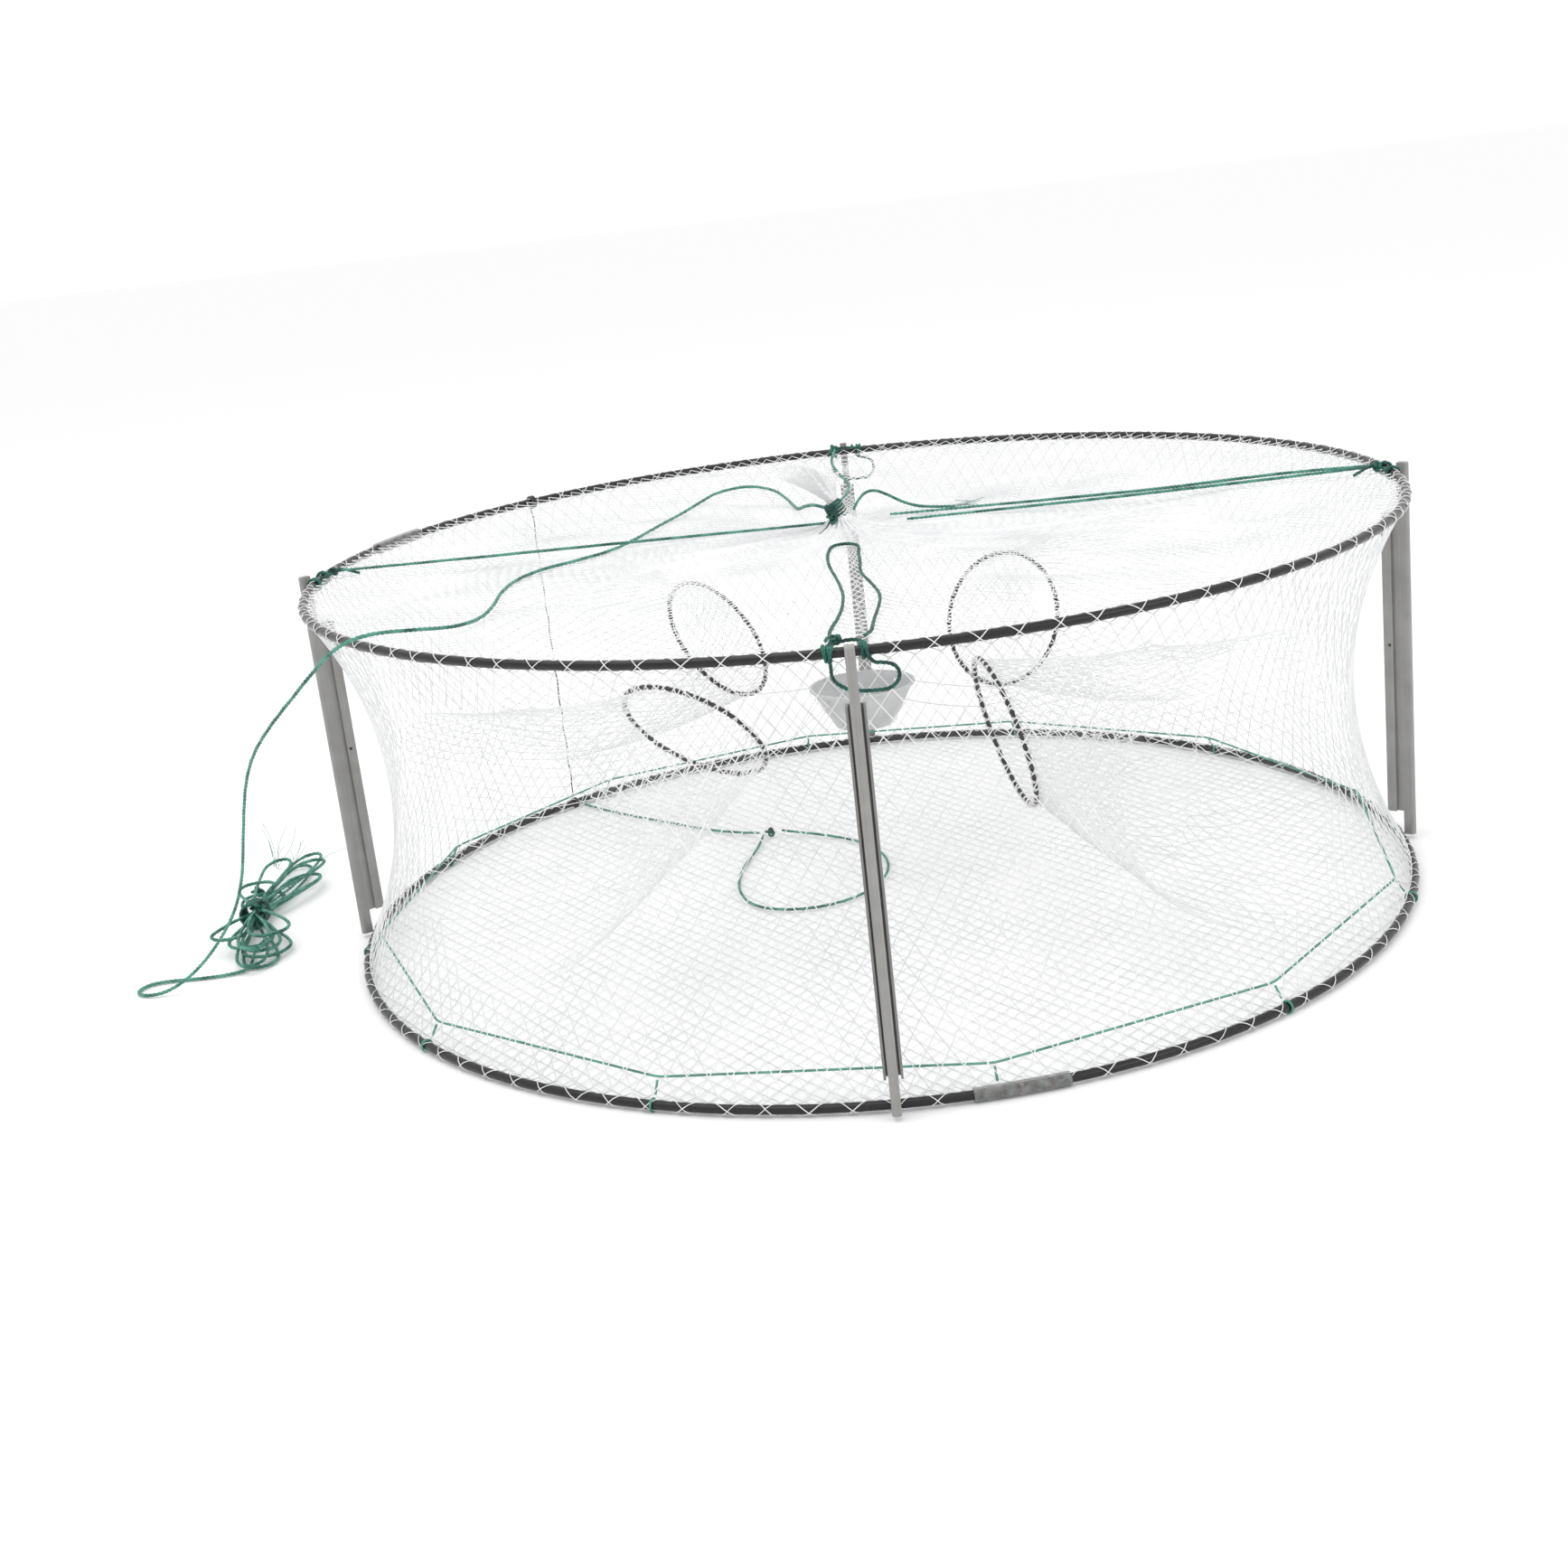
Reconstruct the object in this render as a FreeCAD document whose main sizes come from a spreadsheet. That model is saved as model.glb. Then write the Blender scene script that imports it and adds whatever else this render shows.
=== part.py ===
import FreeCAD, Part
import math
import os

import Sketcher
from FreeCAD import Placement, Rotation, Vector

# Folding crab trap: two coated steel hoops held apart by four plastic props, closed by a
# waisted side net and two flat nets, with four funnel entries, a hanging bait cup and a
# haul line. Millimetres, +Z up, the origin on the ground under the middle of the trap.

UP = Vector(0, 0, 1)
ORIGIN = Vector(0, 0, 0)

SIZES = {
    # the two hoops
    "ring_radius": 400,
    "ring_wire": 6,
    "ring_gap": 280,
    "ring_height": 4.8,
    "sleeve_outer": 9.4,
    "sleeve_inner": 6.6,
    "sleeve_angle": 8.6,
    "ring_split": 0.5,
    # the four props
    "prop_width": 12,
    "prop_wall": 1.5,
    "prop_back": 4,
    "prop_lip": 3,
    "rib_width": 6,
    "rib_face": 15.3,
    "rib_clearance": 7.5,
    "rib_above": 6,
    "rib_below": 1,
    "channel_below_top": 31,
    "channel_above_foot": 17.5,
    "rib_round": 2.2,
    "drain_hole": 2.6,
    "drain_drop": 131,
    # netting stand-ins
    "net_skin": 0.8,
    "net_waist": 37,
    "net_edge_in": 2,
    "net_edge_up": 6.2,
    "top_net_radius": 393.8,
    "top_net_sag": 5,
    "neck_radius": 5,
    "neck_foot": 14,
    "neck_rise": 18,
    "tuft_radius": 26,
    "tuft_rise": 55,
    "neck_gap": 0.4,
    "floor_net_radius": 395.3,
    "floor_net_skin": 1,
    "mouth_half_width": 125,
    "mouth_half_height": 100,
    "mouth_distance": 402,
    # entry hoops
    "entry_radius": 54,
    "entry_wire": 3,
    "entry_distance": 180,
    "funnel_end_radius": 52,
    "funnel_end_gap": 2.6,
    # bait cup
    "cup_rim_radius": 39.5,
    "cup_base_radius": 23,
    "cup_rise": 31,
    "cup_wall": 1.2,
    "cup_lip": 1.6,
    "cup_base": 132.8,
    "cup_hole": 2.6,
    # cords
    "haul_cord": 3,
    "tie_cord": 2.5,
    "twine": 1.6,
    "tether": 1,
    "lacing": 0.7,
}

# the four props and the four entries, by the side of the trap they are on
PROP_SIDES = {"front": -90, "right": 0, "back": 90, "left": 180}
# how far each prop has swung round on its hoops, as it stands
PROP_TWIST = {"front": 0, "right": -38, "back": 0, "left": 38}
# azimuth of the hoop's centre, its height, the azimuth and lean of its outward normal
ENTRIES = {
    "front_right": (-57.5, 158, 11, 13),
    "back_right": (49, 172, 50, -18),
    "back_left": (130, 179, 156, -33),
    "front_left": (229, 176, 235, -40),
}
MOUTHS = {"front_right": -48, "back_right": 46, "back_left": 134, "front_left": 227}

doc = FreeCAD.newDocument("folding_crab_trap")


# ---------------------------------------------------------------- driving dimensions

def fill_sheet():
    """Put every driving dimension in one sheet, each cell under a plain name."""
    table = doc.addObject("Spreadsheet::Sheet", "size")
    for row, (name, amount) in enumerate(SIZES.items(), start=1):
        table.set("A%d" % row, name)
        table.set("B%d" % row, str(amount))
        table.setAlias("B%d" % row, name)
    doc.recompute()
    return table


sheet = fill_sheet()


def get(name):
    return float(sheet.get(name))


RING = get("ring_radius")
WIRE = get("ring_wire") / 2
LOW = get("ring_height")
HIGH = LOW + get("ring_gap")


def value(formula):
    """The number that an expression on the sheet comes to."""
    return float(sheet.evalExpression(formula))


def around(azimuth, radius, height):
    """A point at an azimuth in degrees about the trap's axis."""
    angle = math.radians(azimuth)
    return Vector(radius * math.cos(angle), radius * math.sin(angle), height)


def outward(azimuth):
    return around(azimuth, 1, 0)


def feature(label, shape, place=None):
    """A piece whose shape comes straight from Part's own functions."""
    piece = doc.addObject("Part::Feature", label)
    piece.Label = label
    piece.Shape = shape
    if place:
        piece.Placement = place
    return piece


# ---------------------------------------------------------------- sketching helpers

def origin_plane(body, role):
    for item in body.Origin.OriginFeatures:
        if item.Role == role:
            return item
    raise ValueError("no origin plane called " + role)


def new_sketch(body, name, role):
    sketch = body.newObject("Sketcher::SketchObject", name)
    sketch.AttachmentSupport = (origin_plane(body, role), [""])
    sketch.MapMode = "FlatFace"
    return sketch


def pin(sketch, edge, direction, formula):
    """Hold an edge's start point at a distance from the sketch's origin."""
    amount = value(formula)
    if abs(amount) < 1e-9:
        axis = -2 if direction == "DistanceX" else -1
        sketch.addConstraint(Sketcher.Constraint("PointOnObject", edge, 1, axis))
        return
    index = sketch.addConstraint(Sketcher.Constraint(direction, edge, 1, amount))
    sketch.setExpression("Constraints[%d]" % index, formula)


def outline(sketch, corners):
    """Draw a closed loop of straight edges with each corner held by two formulas."""
    first = sketch.GeometryCount
    spots = [Vector(value(x), value(y), 0) for x, y in corners]
    count = len(spots)
    for index in range(count):
        sketch.addGeometry(Part.LineSegment(spots[index], spots[(index + 1) % count]), False)
    for index, (x, y) in enumerate(corners):
        before = first + (index - 1) % count
        sketch.addConstraint(Sketcher.Constraint("Coincident", before, 2, first + index, 1))
        pin(sketch, first + index, "DistanceX", x)
        pin(sketch, first + index, "DistanceY", y)


def hole_circle(sketch, x, y, diameter):
    """Draw a circle held at x, y with its diameter from the sheet."""
    edge = sketch.addGeometry(
        Part.Circle(Vector(value(x), value(y), 0), UP, value(diameter) / 2), False)
    for direction, formula, axis in (("DistanceX", x, -2), ("DistanceY", y, -1)):
        amount = value(formula)
        if abs(amount) < 1e-9:
            sketch.addConstraint(Sketcher.Constraint("PointOnObject", edge, 3, axis))
        else:
            index = sketch.addConstraint(Sketcher.Constraint(direction, edge, 3, amount))
            sketch.setExpression("Constraints[%d]" % index, formula)
    index = sketch.addConstraint(Sketcher.Constraint("Diameter", edge, value(diameter)))
    sketch.setExpression("Constraints[%d]" % index, diameter)


def checked_cut(body, feature_before, cut):
    """A pocket that removes nothing has been aimed the wrong way."""
    doc.recompute()
    if cut.Shape.Volume >= feature_before.Shape.Volume - 1e-6:
        raise ValueError(cut.Name + " in " + body.Label + " cuts nothing")


# ---------------------------------------------------------------- hoops and sleeves

def make_ring(label, height, azimuth):
    """A hoop of coated steel wire whose two ends meet at one azimuth."""
    ring = doc.addObject("Part::Torus", label)
    ring.Label = label
    ring.setExpression("Radius1", "size.ring_radius")
    ring.setExpression("Radius2", "size.ring_wire / 2")
    ring.setExpression("Angle3", "360 - size.ring_split")
    turn = Rotation(UP, azimuth + get("ring_split") / 2)
    ring.Placement = Placement(Vector(0, 0, height), turn)
    return ring


def make_sleeve(label, height, azimuth):
    """The tube that the two wire ends of a hoop are pushed into."""
    body = doc.addObject("PartDesign::Body", label)
    body.Label = label
    sketch = new_sketch(body, label + "_section", "XZ_Plane")
    hole_circle(sketch, "size.ring_radius", "0", "size.sleeve_outer")
    hole_circle(sketch, "size.ring_radius", "0", "size.sleeve_inner")
    doc.recompute()
    turned = body.newObject("PartDesign::Revolution", label + "_turned")
    turned.Profile = sketch
    turned.ReferenceAxis = (sketch, ["V_Axis"])
    turned.setExpression("Angle", "size.sleeve_angle")
    turned.Midplane = True
    body.Placement = Placement(Vector(0, 0, height), Rotation(UP, azimuth))
    return body


SLEEVE_AZIMUTHS = {"bottom": -79, "top": 158}

make_ring("bottom_ring", LOW, SLEEVE_AZIMUTHS["bottom"])
make_ring("top_ring", HIGH, SLEEVE_AZIMUTHS["top"])
make_sleeve("bottom_ring_sleeve", LOW, SLEEVE_AZIMUTHS["bottom"])
make_sleeve("top_ring_sleeve", HIGH, SLEEVE_AZIMUTHS["top"])


# ---------------------------------------------------------------- props

RIB_TOP = "(size.ring_gap + size.rib_above)"
RIB_FOOT = "(0 - size.rib_below)"
CHANNEL_TOP = "(size.ring_gap - size.channel_below_top)"
CHANNEL_FOOT = "size.channel_above_foot"
HALF = "size.prop_width / 2"
HALF_INNER = "(size.prop_width / 2 - size.prop_wall)"
RIB_HALF = "size.rib_width / 2"
BACK = "size.prop_back"
BACK_INNER = "(size.prop_back - size.prop_wall)"


def prop_profile(sketch):
    """An open channel towards the net with a deep central rib that stands out of it."""
    outline(sketch, [
        ("0 - " + HALF, "0 - " + BACK),
        (HALF, "0 - " + BACK),
        (HALF, "size.prop_lip"),
        (HALF_INNER, "size.prop_lip"),
        (HALF_INNER, "0 - " + BACK_INNER),
        (RIB_HALF, "0 - " + BACK_INNER),
        (RIB_HALF, "size.rib_face"),
        ("0 - " + RIB_HALF, "size.rib_face"),
        ("0 - " + RIB_HALF, "0 - " + BACK_INNER),
        ("0 - " + HALF_INNER, "0 - " + BACK_INNER),
        ("0 - " + HALF_INNER, "size.prop_lip"),
        ("0 - " + HALF, "size.prop_lip"),
    ])


def pocket_across(body, name, before, draw):
    """Cut a shape drawn in side view right across the prop."""
    sketch = new_sketch(body, name + "_outline", "YZ_Plane")
    draw(sketch)
    doc.recompute()
    cut = body.newObject("PartDesign::Pocket", name)
    cut.Profile = sketch
    cut.Length = 4 * get("prop_width")
    cut.Midplane = True
    checked_cut(body, before, cut)
    return cut


def edge_names(shape, wanted):
    """Names of the edges whose middle and direction pass a test."""
    names = []
    for index, edge in enumerate(shape.Edges, start=1):
        middle = edge.valueAt((edge.FirstParameter + edge.LastParameter) / 2)
        if wanted(edge, middle):
            names.append("Edge%d" % index)
    return names


def make_prop(label, azimuth, twist):
    """One extruded prop: only its rib reaches past the hoops, outside them."""
    body = doc.addObject("PartDesign::Body", label)
    body.Label = label
    sketch = new_sketch(body, label + "_profile", "XY_Plane")
    prop_profile(sketch)
    doc.recompute()
    bar = body.newObject("PartDesign::Pad", label + "_bar")
    bar.Profile = sketch
    bar.setExpression("Length", RIB_TOP + " - " + RIB_FOOT)
    doc.recompute()
    lift = "size.rib_below"

    def top_notch(side):
        outline(side, [
            ("-1 - " + BACK, CHANNEL_TOP + " + " + lift),
            ("size.rib_clearance", CHANNEL_TOP + " + " + lift),
            ("size.rib_clearance", RIB_TOP + " + 1 + " + lift),
            ("-1 - " + BACK, RIB_TOP + " + 1 + " + lift),
        ])

    def foot_notch(side):
        outline(side, [
            ("-1 - " + BACK, "-1"),
            ("size.rib_clearance", "-1"),
            ("size.rib_clearance", CHANNEL_FOOT + " + " + lift),
            ("-1 - " + BACK, CHANNEL_FOOT + " + " + lift),
        ])

    def drain(side):
        hole_circle(side, "0.5", "size.ring_gap - size.drain_drop + " + lift, "size.drain_hole")

    cut = pocket_across(body, label + "_top_notch", bar, top_notch)
    cut = pocket_across(body, label + "_foot_notch", cut, foot_notch)
    cut = pocket_across(body, label + "_drain", cut, drain)
    face = get("rib_face")
    top = value(RIB_TOP + " - " + RIB_FOOT)

    def rounded(edge, middle):
        on_face = abs(middle.y - face) < 0.01
        upright = edge.BoundBox.ZLength > 10
        across = edge.BoundBox.XLength > 1
        return on_face and (upright or (across and middle.z > top - 0.01))

    nose = body.newObject("PartDesign::Fillet", label + "_nose")
    nose.Base = (cut, edge_names(cut.Shape, rounded))
    nose.setExpression("Radius", "size.rib_round")
    turn = Rotation(UP, azimuth + twist - 90)
    spot = around(azimuth, RING, LOW - get("rib_below"))
    body.Placement = Placement(spot, turn)
    return body


for side, azimuth in PROP_SIDES.items():
    make_prop(side + "_prop", azimuth, PROP_TWIST[side])


# ---------------------------------------------------------------- nets

NET = get("net_skin")


def skin(edges):
    """Turn a closed outline of edges about the trap's axis into one solid."""
    face = Part.Face(Part.Wire(edges))
    return face.revolve(ORIGIN, UP, 360)


def chain(spots, bends):
    """Edges from spot to spot: straight, or an arc through a middle spot where given."""
    edges = []
    for index, spot in enumerate(spots):
        following = spots[(index + 1) % len(spots)]
        if index in bends:
            edges.append(Part.Arc(spot, bends[index], following).toShape())
        else:
            edges.append(Part.LineSegment(spot, following).toShape())
    return edges


def wall_radii():
    """Edge radius, waist radius, foot height, middle height and top height of the wall."""
    edge = RING - get("net_edge_in")
    foot = LOW + get("net_edge_up")
    top = HIGH - get("net_edge_up")
    return edge, edge - get("net_waist"), foot, (foot + top) / 2, top


def wall_shell(offset, thickness):
    """The waisted wall between the hoops, its middle surface moved out by an offset."""
    edge, waist, foot, middle, top = wall_radii()
    out = offset + thickness / 2
    back = offset - thickness / 2
    spots = [
        Vector(edge + out, 0, foot),
        Vector(edge + out, 0, top),
        Vector(edge + back, 0, top),
        Vector(edge + back, 0, foot),
    ]
    bends = {0: Vector(waist + out, 0, middle), 2: Vector(waist + back, 0, middle)}
    return skin(chain(spots, bends))


def wall_inside(clearance):
    """The space inside the wall, a clearance in from its inner face."""
    edge, waist, foot, middle, top = wall_radii()
    drop = NET / 2 + clearance
    spots = [
        Vector(edge - drop, 0, foot),
        Vector(edge - drop, 0, top),
        Vector(0, 0, top),
        Vector(0, 0, foot),
    ]
    return skin(chain(spots, {0: Vector(waist - drop, 0, middle)}))


def entry_frame(azimuth, lean, spot):
    """Placement whose Z is an outward normal and whose X is level, at a spot."""
    normal = outward(azimuth) * math.cos(math.radians(lean)) + UP * math.sin(math.radians(lean))
    level = UP.cross(normal)
    level.normalize()
    rise = normal.cross(level)
    return Placement(spot, Rotation(level, rise, normal, "ZXY"))


def ring_spot(side):
    azimuth, height, _, _ = ENTRIES[side]
    return around(azimuth, get("entry_distance"), height)


def funnel_solid(side, extra):
    """The solid inside one funnel, from its mouth on the wall to its entry hoop."""
    azimuth, height, facing, lean = ENTRIES[side]
    mouth = MOUTHS[side]
    centre = around(mouth, get("mouth_distance"), (LOW + HIGH) / 2)
    wide = Part.Ellipse(ORIGIN, get("mouth_half_width") + extra, get("mouth_half_height") + extra)
    wide = wide.toShape()
    wide.Placement = entry_frame(mouth, 0, centre)
    narrow = Part.Circle(ORIGIN, UP, get("funnel_end_radius") + extra).toShape()
    place = entry_frame(facing, lean, ring_spot(side))
    place.Base = place.Base + place.Rotation.multVec(UP) * get("funnel_end_gap")
    narrow.Placement = place
    return Part.makeLoft([Part.Wire(wide), Part.Wire(narrow)], True, True)


def make_nets():
    """Side net with its four funnel openings, and the four funnels that start there."""
    wall = wall_shell(0, NET)
    inside = wall_inside(0.3)
    for side in ENTRIES:
        wall = wall.cut(funnel_solid(side, NET + 0.3))
        hollow = funnel_solid(side, NET).cut(funnel_solid(side, 0))
        feature("entry_funnel_" + side, hollow.common(inside).Solids[0])
    feature("side_net", wall.Solids[0])


def make_top_net():
    """Flat net over the top hoop, sagging a little between the hoop and the middle."""
    rim = get("top_net_radius")
    foot = get("neck_foot")
    spots = [
        Vector(rim, 0, HIGH + NET / 2),
        Vector(foot, 0, HIGH - 2 + NET / 2),
        Vector(foot, 0, HIGH - 2 - NET / 2),
        Vector(rim, 0, HIGH - NET / 2),
    ]
    middle = Vector((rim + foot) / 2, 0, HIGH - get("top_net_sag") + NET / 2)
    bends = {0: middle, 2: middle - UP * NET}
    feature("top_net", skin(chain(spots, bends)))


def make_tuft():
    """The middle of the top net: drawn up to a bound neck, then fanning out loose."""
    foot = get("neck_foot") - get("neck_gap")
    neck = get("neck_radius")
    wide = get("tuft_radius")
    top = HIGH + get("tuft_rise")
    waist = HIGH + get("neck_rise")
    spots = [
        Vector(foot, 0, HIGH - 2 + NET / 2),
        Vector(neck, 0, HIGH + 2),
        Vector(neck, 0, waist),
        Vector(wide, 0, top),
        Vector(wide - NET, 0, top),
        Vector(neck - NET, 0, waist + 2),
        Vector(0, 0, waist + 2),
        Vector(0, 0, HIGH + 2),
        Vector(neck - NET, 0, HIGH + 2 - NET),
        Vector(foot, 0, HIGH - 2 - NET / 2),
    ]
    feature("top_net_tuft", skin(chain(spots, {})))


def make_floor_net():
    net = doc.addObject("Part::Cylinder", "bottom_net")
    net.Label = "bottom_net"
    net.setExpression("Radius", "size.floor_net_radius")
    net.setExpression("Height", "size.floor_net_skin")


make_nets()
make_top_net()
make_tuft()
make_floor_net()


# ---------------------------------------------------------------- entry hoops

def make_entry_hoop(side):
    azimuth, height, facing, lean = ENTRIES[side]
    hoop = doc.addObject("Part::Torus", "entry_hoop_" + side)
    hoop.Label = "entry_hoop_" + side
    hoop.setExpression("Radius1", "size.entry_radius")
    hoop.setExpression("Radius2", "size.entry_wire / 2")
    hoop.Placement = entry_frame(facing, lean, ring_spot(side))


def hitches(centre_radius, wire, thread, angles):
    """Small rings of thread round a hoop's wire."""
    solids = []
    gap = 0.1
    for angle in angles:
        spot = around(angle, centre_radius, 0)
        along = UP.cross(outward(angle))
        solids.append(Part.makeTorus(wire + gap + thread / 2, thread / 2, spot, along))
    return solids


def make_entry_lacing(side):
    """The hitches that hold the funnel's end to its hoop."""
    azimuth, height, facing, lean = ENTRIES[side]
    count = 20
    angles = [360 / count * (index + 0.5) for index in range(count)]
    shape = Part.makeCompound(
        hitches(get("entry_radius"), get("entry_wire") / 2, get("lacing"), angles))
    feature("entry_lacing_" + side, shape, entry_frame(facing, lean, ring_spot(side)))


for side in ENTRIES:
    make_entry_hoop(side)
    make_entry_lacing(side)


# ---------------------------------------------------------------- bait cup

def make_cup():
    """A thin tapered cup with a turned lip and four holes for its tethers."""
    body = doc.addObject("PartDesign::Body", "bait_cup")
    body.Label = "bait_cup"
    section = new_sketch(body, "cup_section", "XZ_Plane")
    outline(section, [
        ("0", "0"),
        ("size.cup_base_radius", "0"),
        ("size.cup_rim_radius - 0.6", "size.cup_rise - size.cup_lip"),
        ("size.cup_rim_radius + 1", "size.cup_rise - size.cup_lip"),
        ("size.cup_rim_radius + 1", "size.cup_rise"),
        ("size.cup_rim_radius - size.cup_wall", "size.cup_rise"),
        ("size.cup_base_radius - size.cup_wall", "size.cup_wall"),
        ("0", "size.cup_wall"),
    ])
    doc.recompute()
    turned = body.newObject("PartDesign::Revolution", "cup_turned")
    turned.Profile = section
    turned.ReferenceAxis = (section, ["V_Axis"])
    turned.Angle = 360
    doc.recompute()
    side_view = new_sketch(body, "cup_hole", "YZ_Plane")
    hole_circle(side_view, "0", "size.cup_rise - 6", "size.cup_hole")
    doc.recompute()
    hole = body.newObject("PartDesign::Pocket", "cup_holes_across")
    hole.Profile = side_view
    hole.Length = 4 * get("cup_rim_radius")
    hole.Midplane = True
    checked_cut(body, turned, hole)
    pattern = body.newObject("PartDesign::PolarPattern", "cup_holes")
    pattern.Originals = [hole]
    pattern.Axis = (section, ["V_Axis"])
    pattern.Angle = 180
    pattern.Occurrences = 2
    body.Tip = pattern
    body.Placement = Placement(Vector(0, 0, get("cup_base")), Rotation(UP, 45))


make_cup()


# ---------------------------------------------------------------- cords

def route_edges(points):
    """Straight runs joined by tangent arcs as large as the runs allow, and their radii."""
    edges = []
    radii = []
    start = points[0]
    for before, here, after in zip(points, points[1:], points[2:]):
        back = before - here
        ahead = after - here
        shorter = min(back.Length, ahead.Length)
        turn = math.pi - back.getAngle(ahead)
        reach = 0.45 * shorter
        radius = reach / math.tan(turn / 2)
        back.normalize()
        ahead.normalize()
        leave = here + back * reach
        join = here + ahead * reach
        middle_way = back + ahead
        middle_way.normalize()
        centre = here + middle_way * (radius / math.cos(turn / 2))
        middle = centre - middle_way * radius
        edges.append(Part.LineSegment(start, leave).toShape())
        edges.append(Part.Arc(leave, middle, join).toShape())
        start = join
        radii.append(radius)
    edges.append(Part.LineSegment(start, points[-1]).toShape())
    return edges, radii


def tube(label, points, diameter):
    """A round cord along a route, its volume checked against section times length."""
    points = [Vector(*point) for point in points]
    if len(points) == 2:
        run = points[1] - points[0]
        return Part.makeCylinder(diameter / 2, run.Length, points[0], run)
    edges, radii = route_edges(points)
    path = Part.Wire(edges)
    way = points[1] - points[0]
    section = Part.Wire(Part.Circle(points[0], way, diameter / 2).toShape())
    solid = path.makePipeShell([section], True, False)
    expected = math.pi * diameter ** 2 / 4 * path.Length
    if abs(solid.Volume / expected - 1) > 0.02:
        raise ValueError("%s: volume %.0f, expected %.0f" % (label, solid.Volume, expected))
    listed = " ".join("%.0f" % radius for radius in radii)
    print("%s: %.0f mm long, least radius %.1f mm; radii %s" % (
        label, path.Length, min(radii), listed))
    return solid


def make_cord(label, routes, diameter):
    """One node for a cord, with one solid for each of its strands."""
    solids = [tube(label, points, diameter) for points in routes]
    feature(label, solids[0] if len(solids) == 1 else Part.makeCompound(solids))


HAUL = get("haul_cord")
TIE = get("tie_cord")
TWINE = get("twine")

# The haul line leaves the gather, lies over the top net in loose curves, goes over the
# top hoop at the front left and down to the ground, folds back and ends in its hank.
HAUL_ROUTE = [
    (-10, 4, 298),
    (-21, 14, 301.5),
    (-31, 40, 296.5),
    (-37, 82, 287.5),
    (-42, 132, 283),
    (-50, 184, 282.2),
    (-62, 232, 282.5),
    (-84, 262, 283.2),
    (-110, 243, 283.2),
    (-122, 202, 282.6),
    (-134, 156, 282.3),
    (-149, 108, 282.3),
    (-162, 62, 282.2),
    (-175, 22, 282.2),
    (-198, -8, 282.2),
    (-224, -30, 282.4),
    (-240, -66, 282.8),
    (-244, -112, 283.1),
    (-241, -160, 283.7),
    (-243, -204, 284.7),
    (-254, -238, 288),
    (-279, -255, 293),
    (-304, -264, 295),
    (-326, -262, 288),
    (-347, -249, 270),
    (-370, -231, 249),
    (-393, -209, 228),
    (-415, -184, 205),
    (-432, -160, 179),
    (-445, -138, 150),
    (-456, -120, 120),
    (-466, -107, 90),
    (-479, -99, 62),
    (-497, -95, 38),
    (-519, -94, 16),
    (-541, -97, 3.6),
    (-559, -98, 1.9),
    (-570, -87.5, 1.9),
    (-564, -73.5, 1.9),
    (-547, -69.5, 1.8),
    (-525, -71, 1.9),
    (-502, -68, 1.8),
]
make_cord("haul_line", [HAUL_ROUTE], HAUL)

# A slack loop of cord from the front tie over the top net towards the gather.
FRONT_LOOP_ROUTE = [
    (-8, -384.4, 289.2),
    (-12, -366, 286.3),
    (-11, -338, 284.8),
    (-6, -302, 283.5),
    (-3, -258, 282.5),
    (-4, -212, 281.9),
    (-9, -166, 281.9),
    (-13, -128, 282.2),
    (-14, -98, 282.6),
    (-12.5, -80, 283),
    (-11.5, -69, 283.2),
    (-6.4, -61.5, 283.4),
    (2.2, -62, 283.4),
    (7.5, -69, 283.2),
    (8.7, -80, 283),
    (8, -98, 282.6),
    (9, -128, 282.2),
    (8, -164, 281.9),
    (16, -206, 281.9),
    (21, -250, 282.4),
    (17, -296, 283.4),
    (14, -336, 284.8),
    (13, -362, 286.2),
    (9, -382, 289.2),
]
make_cord("front_slack_loop", [FRONT_LOOP_ROUTE], TIE)

# A slack strand from the back tie to the gather.
BACK_SLACK_ROUTE = [
    (-8, 384.4, 289.2),
    (-10, 366, 286.3),
    (-12, 338, 284.8),
    (-8, 300, 283.5),
    (-2, 258, 282.5),
    (4, 214, 281.9),
    (2, 170, 281.9),
    (-6, 128, 282.2),
    (-8, 88, 282.8),
    (-3, 54, 283.6),
    (-1, 30, 286),
    (-1, 11, 291),
]
make_cord("back_slack_strand", [BACK_SLACK_ROUTE], TIE)

# The tail of the gather's binding: it rises, turns over and lies along the right brace.
GATHER_TAIL_ROUTE = [
    (7, 6.5, 296),
    (12, 17, 303.5),
    (22, 32, 305.5),
    (33, 47, 298),
    (46, 55, 288.5),
    (62, 55, 283.4),
    (84, 51, 282.9),
]
make_cord("gather_tail", [GATHER_TAIL_ROUTE], TIE)

# A loop on the floor net, left from the cord that closes the back left seam.
FLOOR_LEAD_ROUTE = [
    (-268, 284, 2.8),
    (-246, 260, 2.7),
    (-216, 232, 2.6),
    (-182, 204, 2.6),
    (-150, 176, 2.6),
    (-122, 158, 2.7),
    (-102, 146, 4.4),
]
FLOOR_RING_ROUTE = [
    (-98, 136, 5.4),
    (-100, 116, 3.2),
    (-108, 84, 2.7),
    (-114, 50, 2.6),
    (-114, 14, 2.6),
    (-106, -18, 2.6),
    (-88, -39, 2.7),
    (-60, -46, 2.6),
    (-30, -38, 2.6),
    (-6, -14, 2.7),
    (6, 20, 2.6),
    (6, 56, 2.6),
    (-6, 90, 2.7),
    (-30, 118, 2.6),
    (-60, 137, 3.2),
    (-82, 144, 5.4),
]
make_cord("floor_cord", [FLOOR_LEAD_ROUTE, FLOOR_RING_ROUTE], TIE)

KNOT = Part.makeSphere(6)
KNOT_SQUASH = FreeCAD.Matrix(1, 0, 0, 0, 0, 1, 0, 0, 0, 0, 0.55, 0, 0, 0, 0, 1)


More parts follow.
